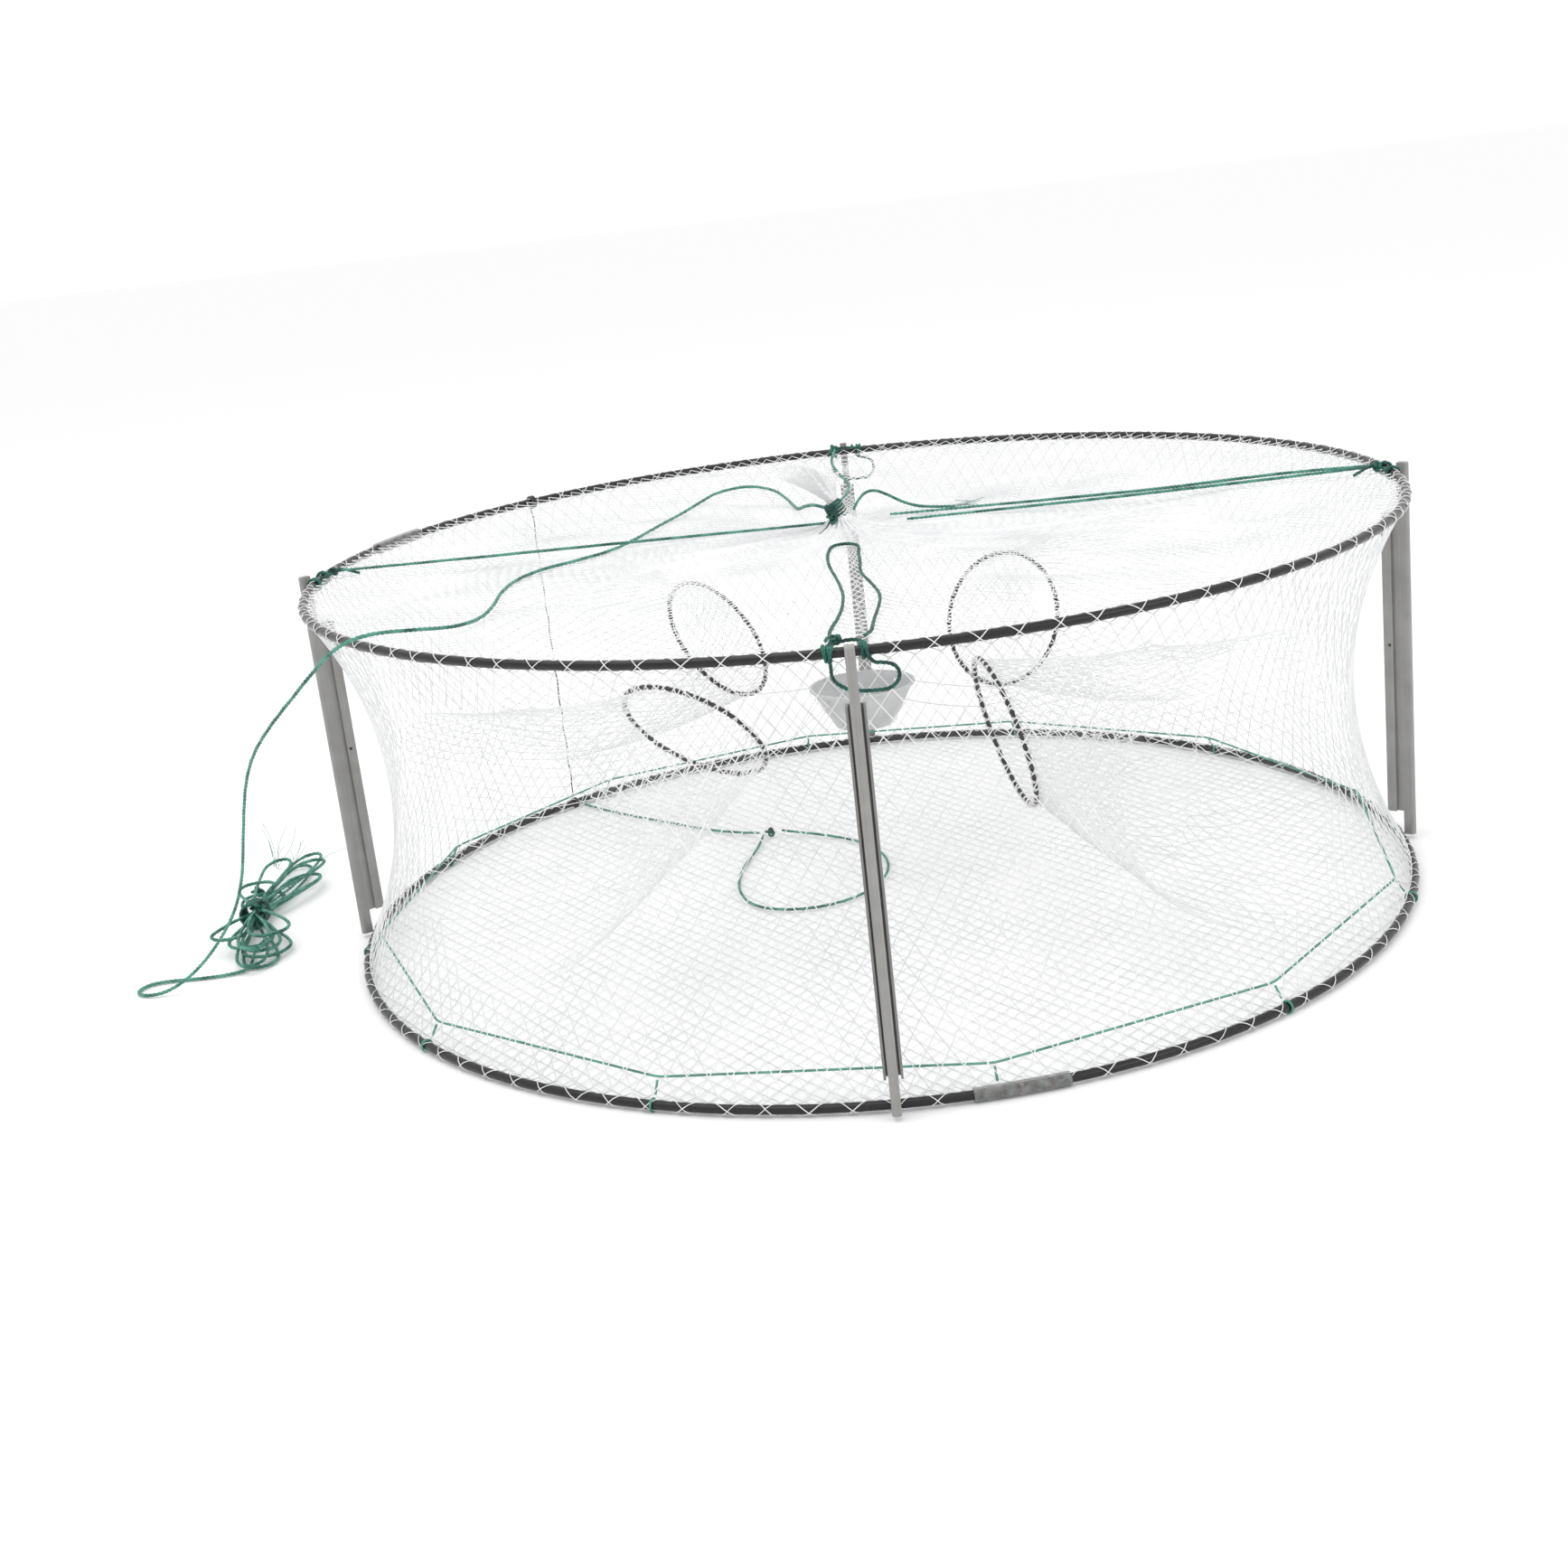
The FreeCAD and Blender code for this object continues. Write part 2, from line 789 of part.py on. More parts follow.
def knot(label, spot, scale):
    """A flattened round lump that stands for a hard knot."""
    lump = KNOT.transformGeometry(KNOT_SQUASH)
    lump.scale(scale)
    lump.translate(Vector(*spot))
    return lump


feature("floor_cord_knot", knot("floor_cord_knot", (-92, 143, 4.9), 0.72).cut(
    Part.makeCompound([doc.getObject("floor_cord").Shape])).Solids[0])

# Taut braces across the top, one strand on the left and two on the right.
WRAP = 7.9


def make_braces():
    """Straight strands from the ties at the hoop to the middle of the top net."""
    tied = HIGH + 5.2
    wrapped = HIGH + 3.7
    start = RING - 15
    left = [(-start, 9, tied), (-WRAP - 1.8, 2, wrapped)]
    make_cord("left_brace", [left], TIE)
    near = [(start, -8.5, tied), (46, 11, HIGH - 1)]
    far = [(start, -4.6, tied), (34, 38, HIGH - 0.8)]
    make_cord("right_brace", [near, far], TIE)


make_braces()


def make_gather_wrap():
    """Turns of cord that bind the neck of the top net."""
    turns = []
    pitch = TIE + 0.1
    first = HIGH + 4.4
    for index in range(5):
        centre = Vector(0, 0, first + pitch * index)
        turns.append(Part.makeTorus(get("neck_radius") + TIE / 2 + 0.1, TIE / 2, centre, UP))
    feature("gather_wrap", Part.makeCompound(turns))


make_gather_wrap()


def ring_turns(azimuth, offsets, height):
    """Turns of cord round a hoop at sideways offsets from an azimuth."""
    turns = []
    for offset in offsets:
        angle = azimuth + math.degrees(offset / RING)
        centre = around(angle, RING, height)
        along = UP.cross(outward(angle))
        turns.append(Part.makeTorus(WIRE + 0.15 + TIE / 2, TIE / 2, centre, along))
    return turns


# sideways places of a tie's turns: those on the side a prop leans to stand further off
TIE_OFFSETS = (-14.6, -12, 7, 9.6)


def make_tie(side, offsets, lump_offset):
    """The turns and the knot that hold a brace to the top hoop beside a prop."""
    azimuth = PROP_SIDES[side]
    pieces = ring_turns(azimuth, offsets, HIGH)
    local = Placement(ORIGIN, Rotation(UP, azimuth))
    lump = knot(side, (0, 0, 0), 0.72)
    lump.translate(local.multVec(Vector(RING - 10.5, lump_offset, HIGH + 5)))
    pieces.append(lump)
    feature(side + "_tie", Part.makeCompound(pieces))


make_tie("front", TIE_OFFSETS, -8)
make_tie("right", TIE_OFFSETS, -8)
make_tie("back", TIE_OFFSETS, 8)
make_tie("left", (-14.6, -12, 12, 14.6), -8)


def bow_route(azimuth, hand):
    """A loop that hangs from the hoop and passes between a prop's rib and the net."""
    local = Placement(ORIGIN, Rotation(UP, azimuth))
    outline_points = [
        (RING + 2.6, -11.5, -7.2),
        (RING - 1, -12.2, -13.5),
        (RING - 5.6, -9.2, -19.6),
        (RING - 7, -3, -23.8),
        (RING - 7.4, 5, -25.4),
        (RING - 7, 14, -25.7),
        (RING - 6.4, 21, -25.2),
        (RING - 4.4, 26.3, -20),
        (RING - 1, 26.6, -12.6),
        (RING + 2, 21.2, -7.6),
        (RING + 3, 13.6, -6.9),
    ]
    route = []
    for radius, sideways, rise in outline_points:
        route.append(tuple(local.multVec(Vector(radius, hand * sideways, HIGH + rise))))
    return route


make_cord("front_bow", [bow_route(PROP_SIDES["front"], 1)], TIE)
make_cord("back_bow", [bow_route(PROP_SIDES["back"], -1)], TIE)


# ---------------------------------------------------------------- seam cord at the back left

SEAM_AZIMUTH = 134


def make_seam_cord():
    """A straight cord outside the net between the hoops, hitched to each of them."""
    spot = around(SEAM_AZIMUTH, RING + 1, 0)
    reach = WIRE + TIE + 0.6
    foot = (spot.x, spot.y, LOW + reach)
    top = (spot.x, spot.y, HIGH - reach)
    make_cord("seam_cord", [[foot, top]], TIE)
    feature("seam_top_hitch", Part.makeCompound(ring_turns(SEAM_AZIMUTH, (-1.3, 1.3), HIGH)))
    turns = hitches(RING, WIRE, TWINE, [SEAM_AZIMUTH - 0.13, SEAM_AZIMUTH + 0.13])
    shape = Part.makeCompound(turns)
    shape.translate(UP * LOW)
    feature("seam_foot_hitch", shape)


make_seam_cord()


# ---------------------------------------------------------------- foot twine and lacing

TWINE_TIES = [-172, -142, -112, -81, -51, -21, 9, 40, 70, 99, 129, 158]
TWINE_RADIUS = RING - 10.5
TIE_ON_SLEEVE = -81
TWINE_HEIGHT = LOW + 14


def make_foot_twine():
    """Twine run round inside the bottom hoop in straight spans from tie to tie."""
    edges = []
    bend = 6.0
    corners = [around(azimuth, TWINE_RADIUS, TWINE_HEIGHT) for azimuth in TWINE_TIES]
    count = len(corners)
    previous = None
    ends = []
    for index, here in enumerate(corners):
        back = corners[index - 1] - here
        ahead = corners[(index + 1) % count] - here
        back.normalize()
        ahead.normalize()
        ends.append((here + back * bend, here + ahead * bend, here))
    for index, (leave, join, here) in enumerate(ends):
        turn = math.pi - (leave - here).getAngle(join - here)
        radius = bend / math.tan(turn / 2)
        middle_way = leave + join - here * 2
        middle_way.normalize()
        middle = here + middle_way * (radius / math.cos(turn / 2) - radius)
        edges.append(Part.Arc(leave, middle, join).toShape())
        edges.append(Part.LineSegment(join, ends[(index + 1) % count][0]).toShape())
    path = Part.Wire(edges)
    leave, join, here = ends[0]
    section = Part.Wire(Part.Circle(leave, leave - ends[-1][1], TWINE / 2).toShape())
    solid = path.makePipeShell([section], True, False)
    expected = math.pi * TWINE ** 2 / 4 * path.Length
    print("foot_twine: %.0f mm long, volume %.3f of expected" % (
        path.Length, solid.Volume / expected))
    feature("foot_twine", solid)


def make_foot_ties():
    """Short ties from the foot twine to the bottom hoop."""
    pieces = []
    on_wire = [azimuth for azimuth in TWINE_TIES if azimuth != TIE_ON_SLEEVE]
    for piece in hitches(RING, WIRE, TWINE, on_wire):
        piece.translate(UP * LOW)
        pieces.append(piece)
    for azimuth in TWINE_TIES:
        start = around(azimuth, RING - 4.6, LOW + 4.6)
        reach = around(azimuth, TWINE_RADIUS + 0.9, TWINE_HEIGHT - 1.8) - start
        pieces.append(Part.makeCylinder(TWINE / 2, reach.Length, start, reach))
    feature("foot_twine_ties", Part.makeCompound(pieces))


make_foot_twine()
make_foot_ties()

LACING_COUNT = 60


def lacing_angles(busy):
    """Evenly spaced azimuths, leaving out those within a busy sector."""
    angles = []
    for index in range(LACING_COUNT):
        angle = 360 / LACING_COUNT * (index + 0.5)
        gaps = [abs((angle - centre + 180) % 360 - 180) - reach for centre, reach in busy]
        if min(gaps) > 0:
            angles.append(angle)
    return angles


def make_lacing(label, height, busy):
    """Hitches of white twine that hold the net edges to a hoop."""
    turns = hitches(RING, WIRE, get("lacing"), lacing_angles(busy))
    shape = Part.makeCompound(turns)
    shape.translate(UP * height)
    feature(label, shape)


sleeve_reach = get("sleeve_angle") / 2 + 0.3
props_busy = [(azimuth, 2.4) for azimuth in PROP_SIDES.values()]
ties_busy = [(azimuth, 0.4) for azimuth in TWINE_TIES]
seam_busy = [(SEAM_AZIMUTH, 0.6)]
make_lacing("top_ring_lacing", HIGH,
            props_busy + seam_busy + [(SLEEVE_AZIMUTHS["top"], sleeve_reach)])
make_lacing("bottom_ring_lacing", LOW,
            ties_busy + seam_busy + [(SLEEVE_AZIMUTHS["bottom"], sleeve_reach)])


# ---------------------------------------------------------------- cup tethers

def make_tethers():
    """Thin strings that hang the bait cup between the four entry hoops."""
    strings = []
    rim_height = get("cup_base") + get("cup_rise") - 6
    for side in ENTRIES:
        azimuth, height, facing, lean = ENTRIES[side]
        frame = entry_frame(facing, lean, ring_spot(side))
        normal = frame.Rotation.multVec(UP)
        towards = Vector(0, 0, rim_height) - frame.Base
        in_plane = towards - normal * towards.dot(normal)
        in_plane.normalize()
        far = frame.Base + in_plane * (get("entry_radius") + get("entry_wire") / 2 + 1.2)
        angle = math.degrees(math.atan2(far.y, far.x))
        near = around(angle, get("cup_rim_radius") + 2, rim_height)
        strings.append(tube("cup_tethers", [tuple(near), tuple(far)], get("tether")))
    feature("cup_tethers", Part.makeCompound(strings))


make_tethers()


# ---------------------------------------------------------------- hank of the haul line

# stations along the hank: place along Y, middle in X, half width, height of its top
HANK_STATIONS = [
    (190, -516, 6, 12),
    (178, -517, 13, 17),
    (150, -518, 19, 21),
    (110, -511.5, 24, 23),
    (76, -507, 22, 23),
    (58, -510, 14, 22.2),
    (50, -510.5, 8.9, 21.2),
    (28, -510.5, 8.9, 21.2),
    (18, -509, 14, 22.2),
    (-4, -506, 21, 23),
    (-32, -499, 23.5, 23),
    (-60, -484, 20.5, 21),
    (-84, -474.5, 16, 17),
    (-96, -473, 8, 12),
]
HANK_FOOT = 0.4
BINDING_RADIUS = 10.75
# the waist is held clear of the ground by its binding
WAIST = (50, 28)
WAIST_FOOT = 3.3
BINDING_PLACES = [33, 36.2, 39.4, 42.6, 45.8]


def make_hank():
    """The folded hank on the ground: two uneven lobes either side of a narrow waist."""
    sections = []
    for along, middle, half, top in HANK_STATIONS:
        foot = WAIST_FOOT if along in WAIST else HANK_FOOT
        rise = (top - foot) / 2
        section = Part.makeCircle(1, ORIGIN, Vector(0, -1, 0))
        stretch = FreeCAD.Matrix(half, 0, 0, middle, 0, 1, 0, along, 0, 0, rise, rise + foot)
        sections.append(Part.Wire(section.transformGeometry(stretch)))
    return Part.makeLoft(sections, True, True)


def make_binding():
    """Turns of the same cord round the waist of the hank."""
    turns = []
    for along in BINDING_PLACES:
        centre = Vector(-510.5, along, 10.95 + 1.3)
        turns.append(Part.makeTorus(BINDING_RADIUS, HAUL / 2, centre, Vector(0, 1, 0)))
    return Part.makeCompound(turns)


feature("haul_hank", make_hank())
feature("haul_hank_binding", make_binding())


# ---------------------------------------------------------------- checks and files

NODES = [
    "bottom_ring", "bottom_ring_sleeve", "bottom_net", "bottom_ring_lacing", "foot_twine",
    "foot_twine_ties", "side_net", "seam_cord", "seam_foot_hitch", "floor_cord",
    "floor_cord_knot", "haul_line", "haul_hank", "haul_hank_binding", "cup_tethers", "top_ring",
    "top_ring_sleeve", "top_net", "top_net_tuft", "top_ring_lacing", "gather_wrap",
    "left_brace", "right_brace", "front_slack_loop", "back_slack_strand", "gather_tail",
    "front_tie", "right_tie", "back_tie", "left_tie", "front_bow", "back_bow",
    "seam_top_hitch", "front_prop", "right_prop", "back_prop", "left_prop", "bait_cup",
]
for side in ENTRIES:
    NODES += ["entry_funnel_" + side, "entry_hoop_" + side, "entry_lacing_" + side]


def check(piece):
    """Stop if a piece failed to build, or is empty or not valid."""
    if "Invalid" in piece.State or "Error" in piece.State:
        raise ValueError(piece.Label + " failed: " + str(piece.State))


def write_parts():
    doc.recompute()
    for piece in doc.Objects:
        check(piece)
    os.makedirs("parts", exist_ok=True)
    for label in NODES:
        shape = doc.getObjectsByLabel(label)[0].Shape
        if shape.isNull() or not shape.isValid() or not shape.Solids:
            raise ValueError(label + " has no valid solid")
        shape.exportStep("parts/" + label + ".step")
    print("%d nodes written" % len(NODES))


write_parts()
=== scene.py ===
import math
import random

import bpy
import numpy as np
from mathutils import Matrix, Vector


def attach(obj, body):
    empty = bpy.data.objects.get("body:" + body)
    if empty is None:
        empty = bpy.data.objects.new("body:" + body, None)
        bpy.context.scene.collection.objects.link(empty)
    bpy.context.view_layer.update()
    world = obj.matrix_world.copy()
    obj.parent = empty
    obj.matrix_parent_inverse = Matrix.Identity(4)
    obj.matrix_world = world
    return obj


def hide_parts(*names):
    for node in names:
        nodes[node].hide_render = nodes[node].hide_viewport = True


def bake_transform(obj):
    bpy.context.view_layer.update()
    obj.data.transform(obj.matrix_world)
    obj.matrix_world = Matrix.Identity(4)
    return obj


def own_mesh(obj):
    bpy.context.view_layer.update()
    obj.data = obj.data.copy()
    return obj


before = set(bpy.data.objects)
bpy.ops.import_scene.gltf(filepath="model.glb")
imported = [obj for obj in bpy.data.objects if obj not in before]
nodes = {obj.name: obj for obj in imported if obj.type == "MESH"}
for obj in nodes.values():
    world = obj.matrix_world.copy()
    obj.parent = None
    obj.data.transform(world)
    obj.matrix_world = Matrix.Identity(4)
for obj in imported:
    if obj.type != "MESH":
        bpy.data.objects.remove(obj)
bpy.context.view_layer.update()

# ---- Studio --------------------------------------------------------------------------
# The trap stands on a white floor that fades into a white surround, in soft even light
# from above, and is looked at from the front, a little from above and slightly rolled.

camera_data = bpy.data.cameras.new("camera")
camera_data.sensor_width = 36
camera_data.lens = 47.61
camera_data.clip_end = 20
camera = bpy.data.objects.new("camera", camera_data)
bpy.context.collection.objects.link(camera)
right = Vector((0.99378, 0.02302, -0.10859)).normalized()
forward = Vector((-0.05380, 0.95560, -0.28980)).normalized()
upward = right.cross(forward).normalized()
right = forward.cross(upward)
look = Matrix((right, upward, -forward)).transposed().to_4x4()
CAMERA_PLACE = (0.0186, -1.5337, 0.5551)
camera.matrix_world = Matrix.Translation(CAMERA_PLACE) @ look
bpy.context.scene.camera = camera

world = bpy.data.worlds.new("white_surround")
world.use_nodes = True
world.node_tree.nodes["Background"].inputs["Color"].default_value = (1, 1, 1, 1)
world.node_tree.nodes["Background"].inputs["Strength"].default_value = 1.05
bpy.context.scene.world = world
bpy.context.scene.view_settings.view_transform = "Standard"
bpy.context.scene.cycles.transparent_max_bounces = 24


def softbox(name, place, aim, size, power):
    """A square soft light at a place, turned towards a point."""
    light = bpy.data.lights.new(name, "AREA")
    light.size = size
    light.energy = power
    box = bpy.data.objects.new(name, light)
    bpy.context.collection.objects.link(box)
    turn = (Vector(aim) - Vector(place)).to_track_quat("-Z", "Y")
    box.matrix_world = Matrix.Translation(place) @ turn.to_matrix().to_4x4()


softbox("top_light", (-0.6, -0.4, 2.6), (0, 0, 0.1), 2.4, 24)
softbox("side_light", (2.2, -1.8, 1.7), (0, 0, 0.15), 1.4, 10)

bpy.ops.object.select_all(action="DESELECT")
bpy.ops.mesh.primitive_plane_add(size=60, location=(0, 20, 0))
floor = bpy.context.object
floor.name = "floor"


# ---- Haul line -----------------------------------------------------------------------
# A twisted green polyethylene cord, three millimetres thick. It is knotted to the
# gathered middle of the top net, lies over the net in loose curves, falls over the top
# hoop to the ground and ends in an untidy hank tied round its waist.

class Socket:
    """A shader value or colour that takes Python's operators."""

    def __init__(self, tree, output):
        self.tree = tree
        self.output = output

    def node(self, kind, values, result=0, **settings):
        """Add a node with its settings, and values or links for its sockets."""
        made = self.tree.nodes.new(kind)
        for name, setting in settings.items():
            if name == "stops":
                ramp = made.color_ramp.elements
                while len(ramp) < len(setting):
                    ramp.new(0.5)
                for stop, (place, shade) in zip(ramp, setting):
                    stop.position = place
                    stop.color = shade
            else:
                setattr(made, name, setting)
        for key, value in values.items():
            if isinstance(value, Socket):
                self.tree.links.new(value.output, made.inputs[key])
            else:
                made.inputs[key].default_value = value
        return Socket(self.tree, made.outputs[result])

    def maths(self, operation, other, swap=False):
        first, second = (other, self) if swap else (self, other)
        return self.node("ShaderNodeMath", {0: first, 1: second}, operation=operation)

    def __add__(self, other):
        return self.maths("ADD", other)

    def __mul__(self, other):
        return self.maths("MULTIPLY", other)

    def __sub__(self, other):
        return self.maths("SUBTRACT", other)

    def __rsub__(self, other):
        return self.maths("SUBTRACT", other, swap=True)

    __radd__ = __add__
    __rmul__ = __mul__


def new_finish(name, constants):
    """A material with its shader's fixed values set, its shader, and its coordinates."""
    finish = bpy.data.materials.new(name)
    finish.use_nodes = True
    tree = finish.node_tree
    shader = tree.nodes["Principled BSDF"]
    for key, value in constants.items():
        shader.inputs[key].default_value = value
    place = Socket(tree, tree.nodes.new("ShaderNodeTexCoord").outputs["Object"])
    return finish, shader, place


def feed(shader, name, value):
    """Lead a shader value into one of the surface shader's sockets."""
    value.tree.links.new(value.output, shader.inputs[name])


def bumped(place, height, strength, distance):
    """A normal bent by a height."""
    return place.node("ShaderNodeBump", {
        "Height": height, "Strength": strength, "Distance": distance}, result="Normal")


def noise(place, scale, detail, rough=0.5):
    """Soft random patches of a size."""
    return place.node("ShaderNodeTexNoise", {
        "Vector": place, "Scale": scale, "Detail": detail, "Roughness": rough})


def shaded(value, stops):
    """A colour that changes with a value, from one stop to the next."""
    return value.node("ShaderNodeValToRGB", {0: value}, stops=[
        (place, (*colour, 1)) for place, colour in stops])


def cord_finish(name, pale, deep, rough):
    """Shiny twisted plastic fibre: two shades in patches, with a fine fibre grain."""
    finish, shader, place = new_finish(name, {"Specular IOR Level": 0.45})
    patches = noise(place, 95.0, 3.0, 0.6)
    fibres = noise(place, 2600.0, 2.0, 0.7)
    shade = shaded(patches * 0.7 + fibres * 0.35, [(0.42, deep), (0.60, pale)])
    feed(shader, "Base Color", shade)
    feed(shader, "Roughness", fibres * 0.25 + (rough - 0.12))
    feed(shader, "Normal", bumped(place, fibres, 0.5, 0.0002))
    return finish


green_cord = cord_finish("green_cord", (0.100, 0.330, 0.250), (0.014, 0.100, 0.074), 0.45)
# a copy of the green cord darkened with painted shade, for knots, bindings and loops where the
# cord lies in shadow
dark_green_cord = cord_finish(
    "dark_green_cord", (0.020, 0.145, 0.108), (0.003, 0.034, 0.026), 0.45)


def smooth_line(points, steps):
    """The places along the smooth line that is pulled through a route's points."""
    curve = bpy.data.curves.new("line", "CURVE")
    curve.dimensions = "3D"
    spline = curve.splines.new("NURBS")
    spline.points.add(len(points) - 1)
    for control, spot in zip(spline.points, points):
        control.co = (*spot, 1)
    spline.order_u = 3
    spline.use_endpoint_u = True
    spline.resolution_u = steps
    holder = bpy.data.objects.new("line", curve)
    mesh = bpy.data.meshes.new_from_object(holder)
    line = np.array([v.co for v in mesh.vertices])
    bpy.data.objects.remove(holder)
    bpy.data.curves.remove(curve)
    bpy.data.meshes.remove(mesh)
    return line


def across_line(line):
    """Two directions square to a line at each of its places, which don't spin."""
    ahead = np.gradient(line, axis=0)
    ahead /= np.linalg.norm(ahead, axis=1)[:, None]
    side = np.cross(ahead[0], (0.31, 0.17, 0.94))
    sides = []
    for direction in ahead:
        side = side - direction * side.dot(direction)
        side = side / np.linalg.norm(side)
        sides.append(side)
    sides = np.array(sides)
    return sides, np.cross(ahead, sides)


def tube_mesh(line, radius, sides):
    """Corners and faces of a closed tube along a line; the radius may vary along it."""
    one, two = across_line(line)
    radius = np.broadcast_to(radius, len(line))[:, None]
    rings = []
    for turn in np.arange(sides) * 2 * math.pi / sides:
        rings.append(line + radius * (one * math.cos(turn) + two * math.sin(turn)))
    corners = np.stack(rings, axis=1).reshape(-1, 3)
    faces = []
    for ring in range(len(line) - 1):
        for edge in range(sides):
            here = ring * sides + edge
            following = ring * sides + (edge + 1) % sides
            faces.append((here, following, following + sides, here + sides))
    faces.append(tuple(range(sides))[::-1])
    last = (len(line) - 1) * sides
    faces.append(tuple(range(last, last + sides)))
    return corners, faces


def mesh_piece(name, parts, finish):
    """One object from several sets of corners and faces."""
    corners = []
    faces = []
    count = 0
    for part_corners, part_faces in parts:
        corners.append(part_corners)
        faces += [tuple(count + index for index in face) for face in part_faces]
        count += len(part_corners)
    mesh = bpy.data.meshes.new(name)
    mesh.from_pydata(np.concatenate(corners), [], faces)
    mesh.materials.append(finish)
    mesh.polygons.foreach_set("use_smooth", [True] * len(mesh.polygons))
    piece = bpy.data.objects.new(name, mesh)
    bpy.context.collection.objects.link(piece)
    return piece


def twisted(line, thickness, lay, strands=3):
    """The strands of a twisted cord of a thickness, one turn in each lay length."""
    one, two = across_line(line)
    run = np.concatenate(([0], np.cumsum(np.linalg.norm(np.diff(line, axis=0), axis=1))))
    offset = thickness * 0.255
    parts = []
    for strand in range(strands):
        turn = run / lay * 2 * math.pi + strand * 2 * math.pi / strands
        path = line + offset * (one * np.cos(turn)[:, None] + two * np.sin(turn)[:, None])
        parts.append(tube_mesh(path, offset, sides=5))
    return parts


# one turn of a cord's strands, in its thicknesses
LAY = 3.6


def laid_cord(name, points, thickness, finish, body, exit_end,
              stands_for=(), steps=14):
    """A twisted cord that follows a route and rides on a body."""
    line = smooth_line(points, steps)
    piece = mesh_piece(name, twisted(line, thickness, thickness * LAY), finish)
    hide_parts(*stands_for)
    if body:
        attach(piece, body)
    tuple(exit_end)
    return piece


HAUL_THICKNESS = 0.0030
HAUL_ROUTE = [
    (-0.0100, 0.004, 0.2980), (-0.0210, 0.014, 0.3015), (-0.0310, 0.040, 0.2965),
    (-0.0370, 0.082, 0.2875), (-0.0420, 0.132, 0.2830), (-0.0500, 0.184, 0.2822),
    (-0.0620, 0.232, 0.2825), (-0.0840, 0.262, 0.2832), (-0.1100, 0.243, 0.2832),
    (-0.1220, 0.202, 0.2826), (-0.1340, 0.156, 0.2823), (-0.1490, 0.108, 0.2823),
    (-0.1620, 0.062, 0.2822), (-0.1750, 0.022, 0.2822), (-0.1980, -0.008, 0.2822),
    (-0.2240, -0.030, 0.2824), (-0.2400, -0.066, 0.2828), (-0.2440, -0.112, 0.2831),
    (-0.2410, -0.160, 0.2837), (-0.2430, -0.204, 0.2847), (-0.2540, -0.238, 0.2880),
    (-0.2790, -0.255, 0.2930), (-0.3040, -0.264, 0.2950), (-0.3260, -0.262, 0.2880),
    (-0.3470, -0.249, 0.2700), (-0.3700, -0.231, 0.2490), (-0.3930, -0.209, 0.2280),
    (-0.4150, -0.184, 0.2050), (-0.4320, -0.160, 0.1790), (-0.4450, -0.138, 0.1500),
    (-0.4560, -0.120, 0.1200), (-0.4660, -0.107, 0.0900), (-0.4790, -0.099, 0.0620),
    (-0.4970, -0.095, 0.0380), (-0.5190, -0.094, 0.0160), (-0.5410, -0.097, 0.0036),
    (-0.5590, -0.098, 0.0019), (-0.5700, -0.0875, 0.0019), (-0.5640, -0.0735, 0.0019),
    (-0.5470, -0.0695, 0.0018), (-0.5250, -0.071, 0.0019), (-0.5020, -0.068, 0.0018),
]

# each fold of the hank: reach from the tied waist, half width, lean in degrees, height
HANK_FOLDS = [
    (-0.104, 0.014, -17, 0.0024), (0.144, 0.013, 1, 0.0030),
    (-0.088, 0.019, -22, 0.0050), (0.070, 0.018, -9, 0.0056),
    (-0.112, 0.012, -13, 0.0076), (0.104, 0.013, 13, 0.0084),
    (-0.076, 0.017, -12, 0.0102), (0.150, 0.012, 5, 0.0110),
    (-0.096, 0.015, -19, 0.0128), (0.090, 0.013, 19, 0.0134),
    (-0.066, 0.014, 6, 0.0152), (0.126, 0.012, -4, 0.0160),
    (-0.102, 0.013, -15, 0.0176), (0.062, 0.015, -12, 0.0182),
    (-0.082, 0.016, -26, 0.0196), (0.108, 0.012, 16, 0.0200),
]
HANK_WAIST = Vector((-0.5105, 0.0394, 0.0110))
# one fold: how far along its reach, and how far aside, each point lies
FOLD_SHAPE = [(0.33, 0.50), (0.62, 0.92), (0.84, 1.00), (0.97, 0.62), (1.00, 0.0),
              (0.97, -0.62), (0.84, -1.00), (0.62, -0.92), (0.33, -0.50)]


def hank_route():
    """Loose folds that run out from the waist on one side, round, and back through it."""
    wander = random.Random(7)
    route = []
    for order, (reach, half, lean, height) in enumerate(HANK_FOLDS):
        hand = 1 if order % 4 < 2 else -1
        swing = math.radians(lean)
        for share, side in FOLD_SHAPE:
            out = reach * share + wander.gauss(0, 0.0007)
            aside = hand * half * side + wander.gauss(0, 0.0007)
            x = aside * math.cos(swing) + out * math.sin(swing)
            y = out * math.cos(swing) - aside * math.sin(swing)
            route.append((HANK_WAIST.x + x, HANK_WAIST.y + y, height))
        spot = HANK_WAIST + Vector((wander.uniform(-1, 1) * 0.0045, 0, 0))
        route.append((spot.x, spot.y, HANK_WAIST.z + (height - HANK_WAIST.z) * 0.6))
    return route


haul_line = laid_cord(
    "haul_cord", HAUL_ROUTE + [(-0.488, -0.062, 0.0026), (-0.494, -0.028, 0.0050)]
    + hank_route(), HAUL_THICKNESS, green_cord, None, HAUL_ROUTE[0],
    stands_for=("haul_line", "haul_hank"), steps=9)
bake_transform(haul_line)


def winding(centre, along, radius, turns, pitch, phase, each=12):
    """Points of a cord wound round something that runs in one direction."""
    along = Vector(along).normalized()
    one = along.orthogonal().normalized()
    two = along.cross(one)
    count = int(turns * each)
    points = []
    for step in range(count + 1):
        turn = step / each * 2 * math.pi + phase
        shift = along * (step / each - turns / 2) * pitch
        points.append(Vector(centre) + shift
                      + (one * math.cos(turn) + two * math.sin(turn)) * radius)
    return points


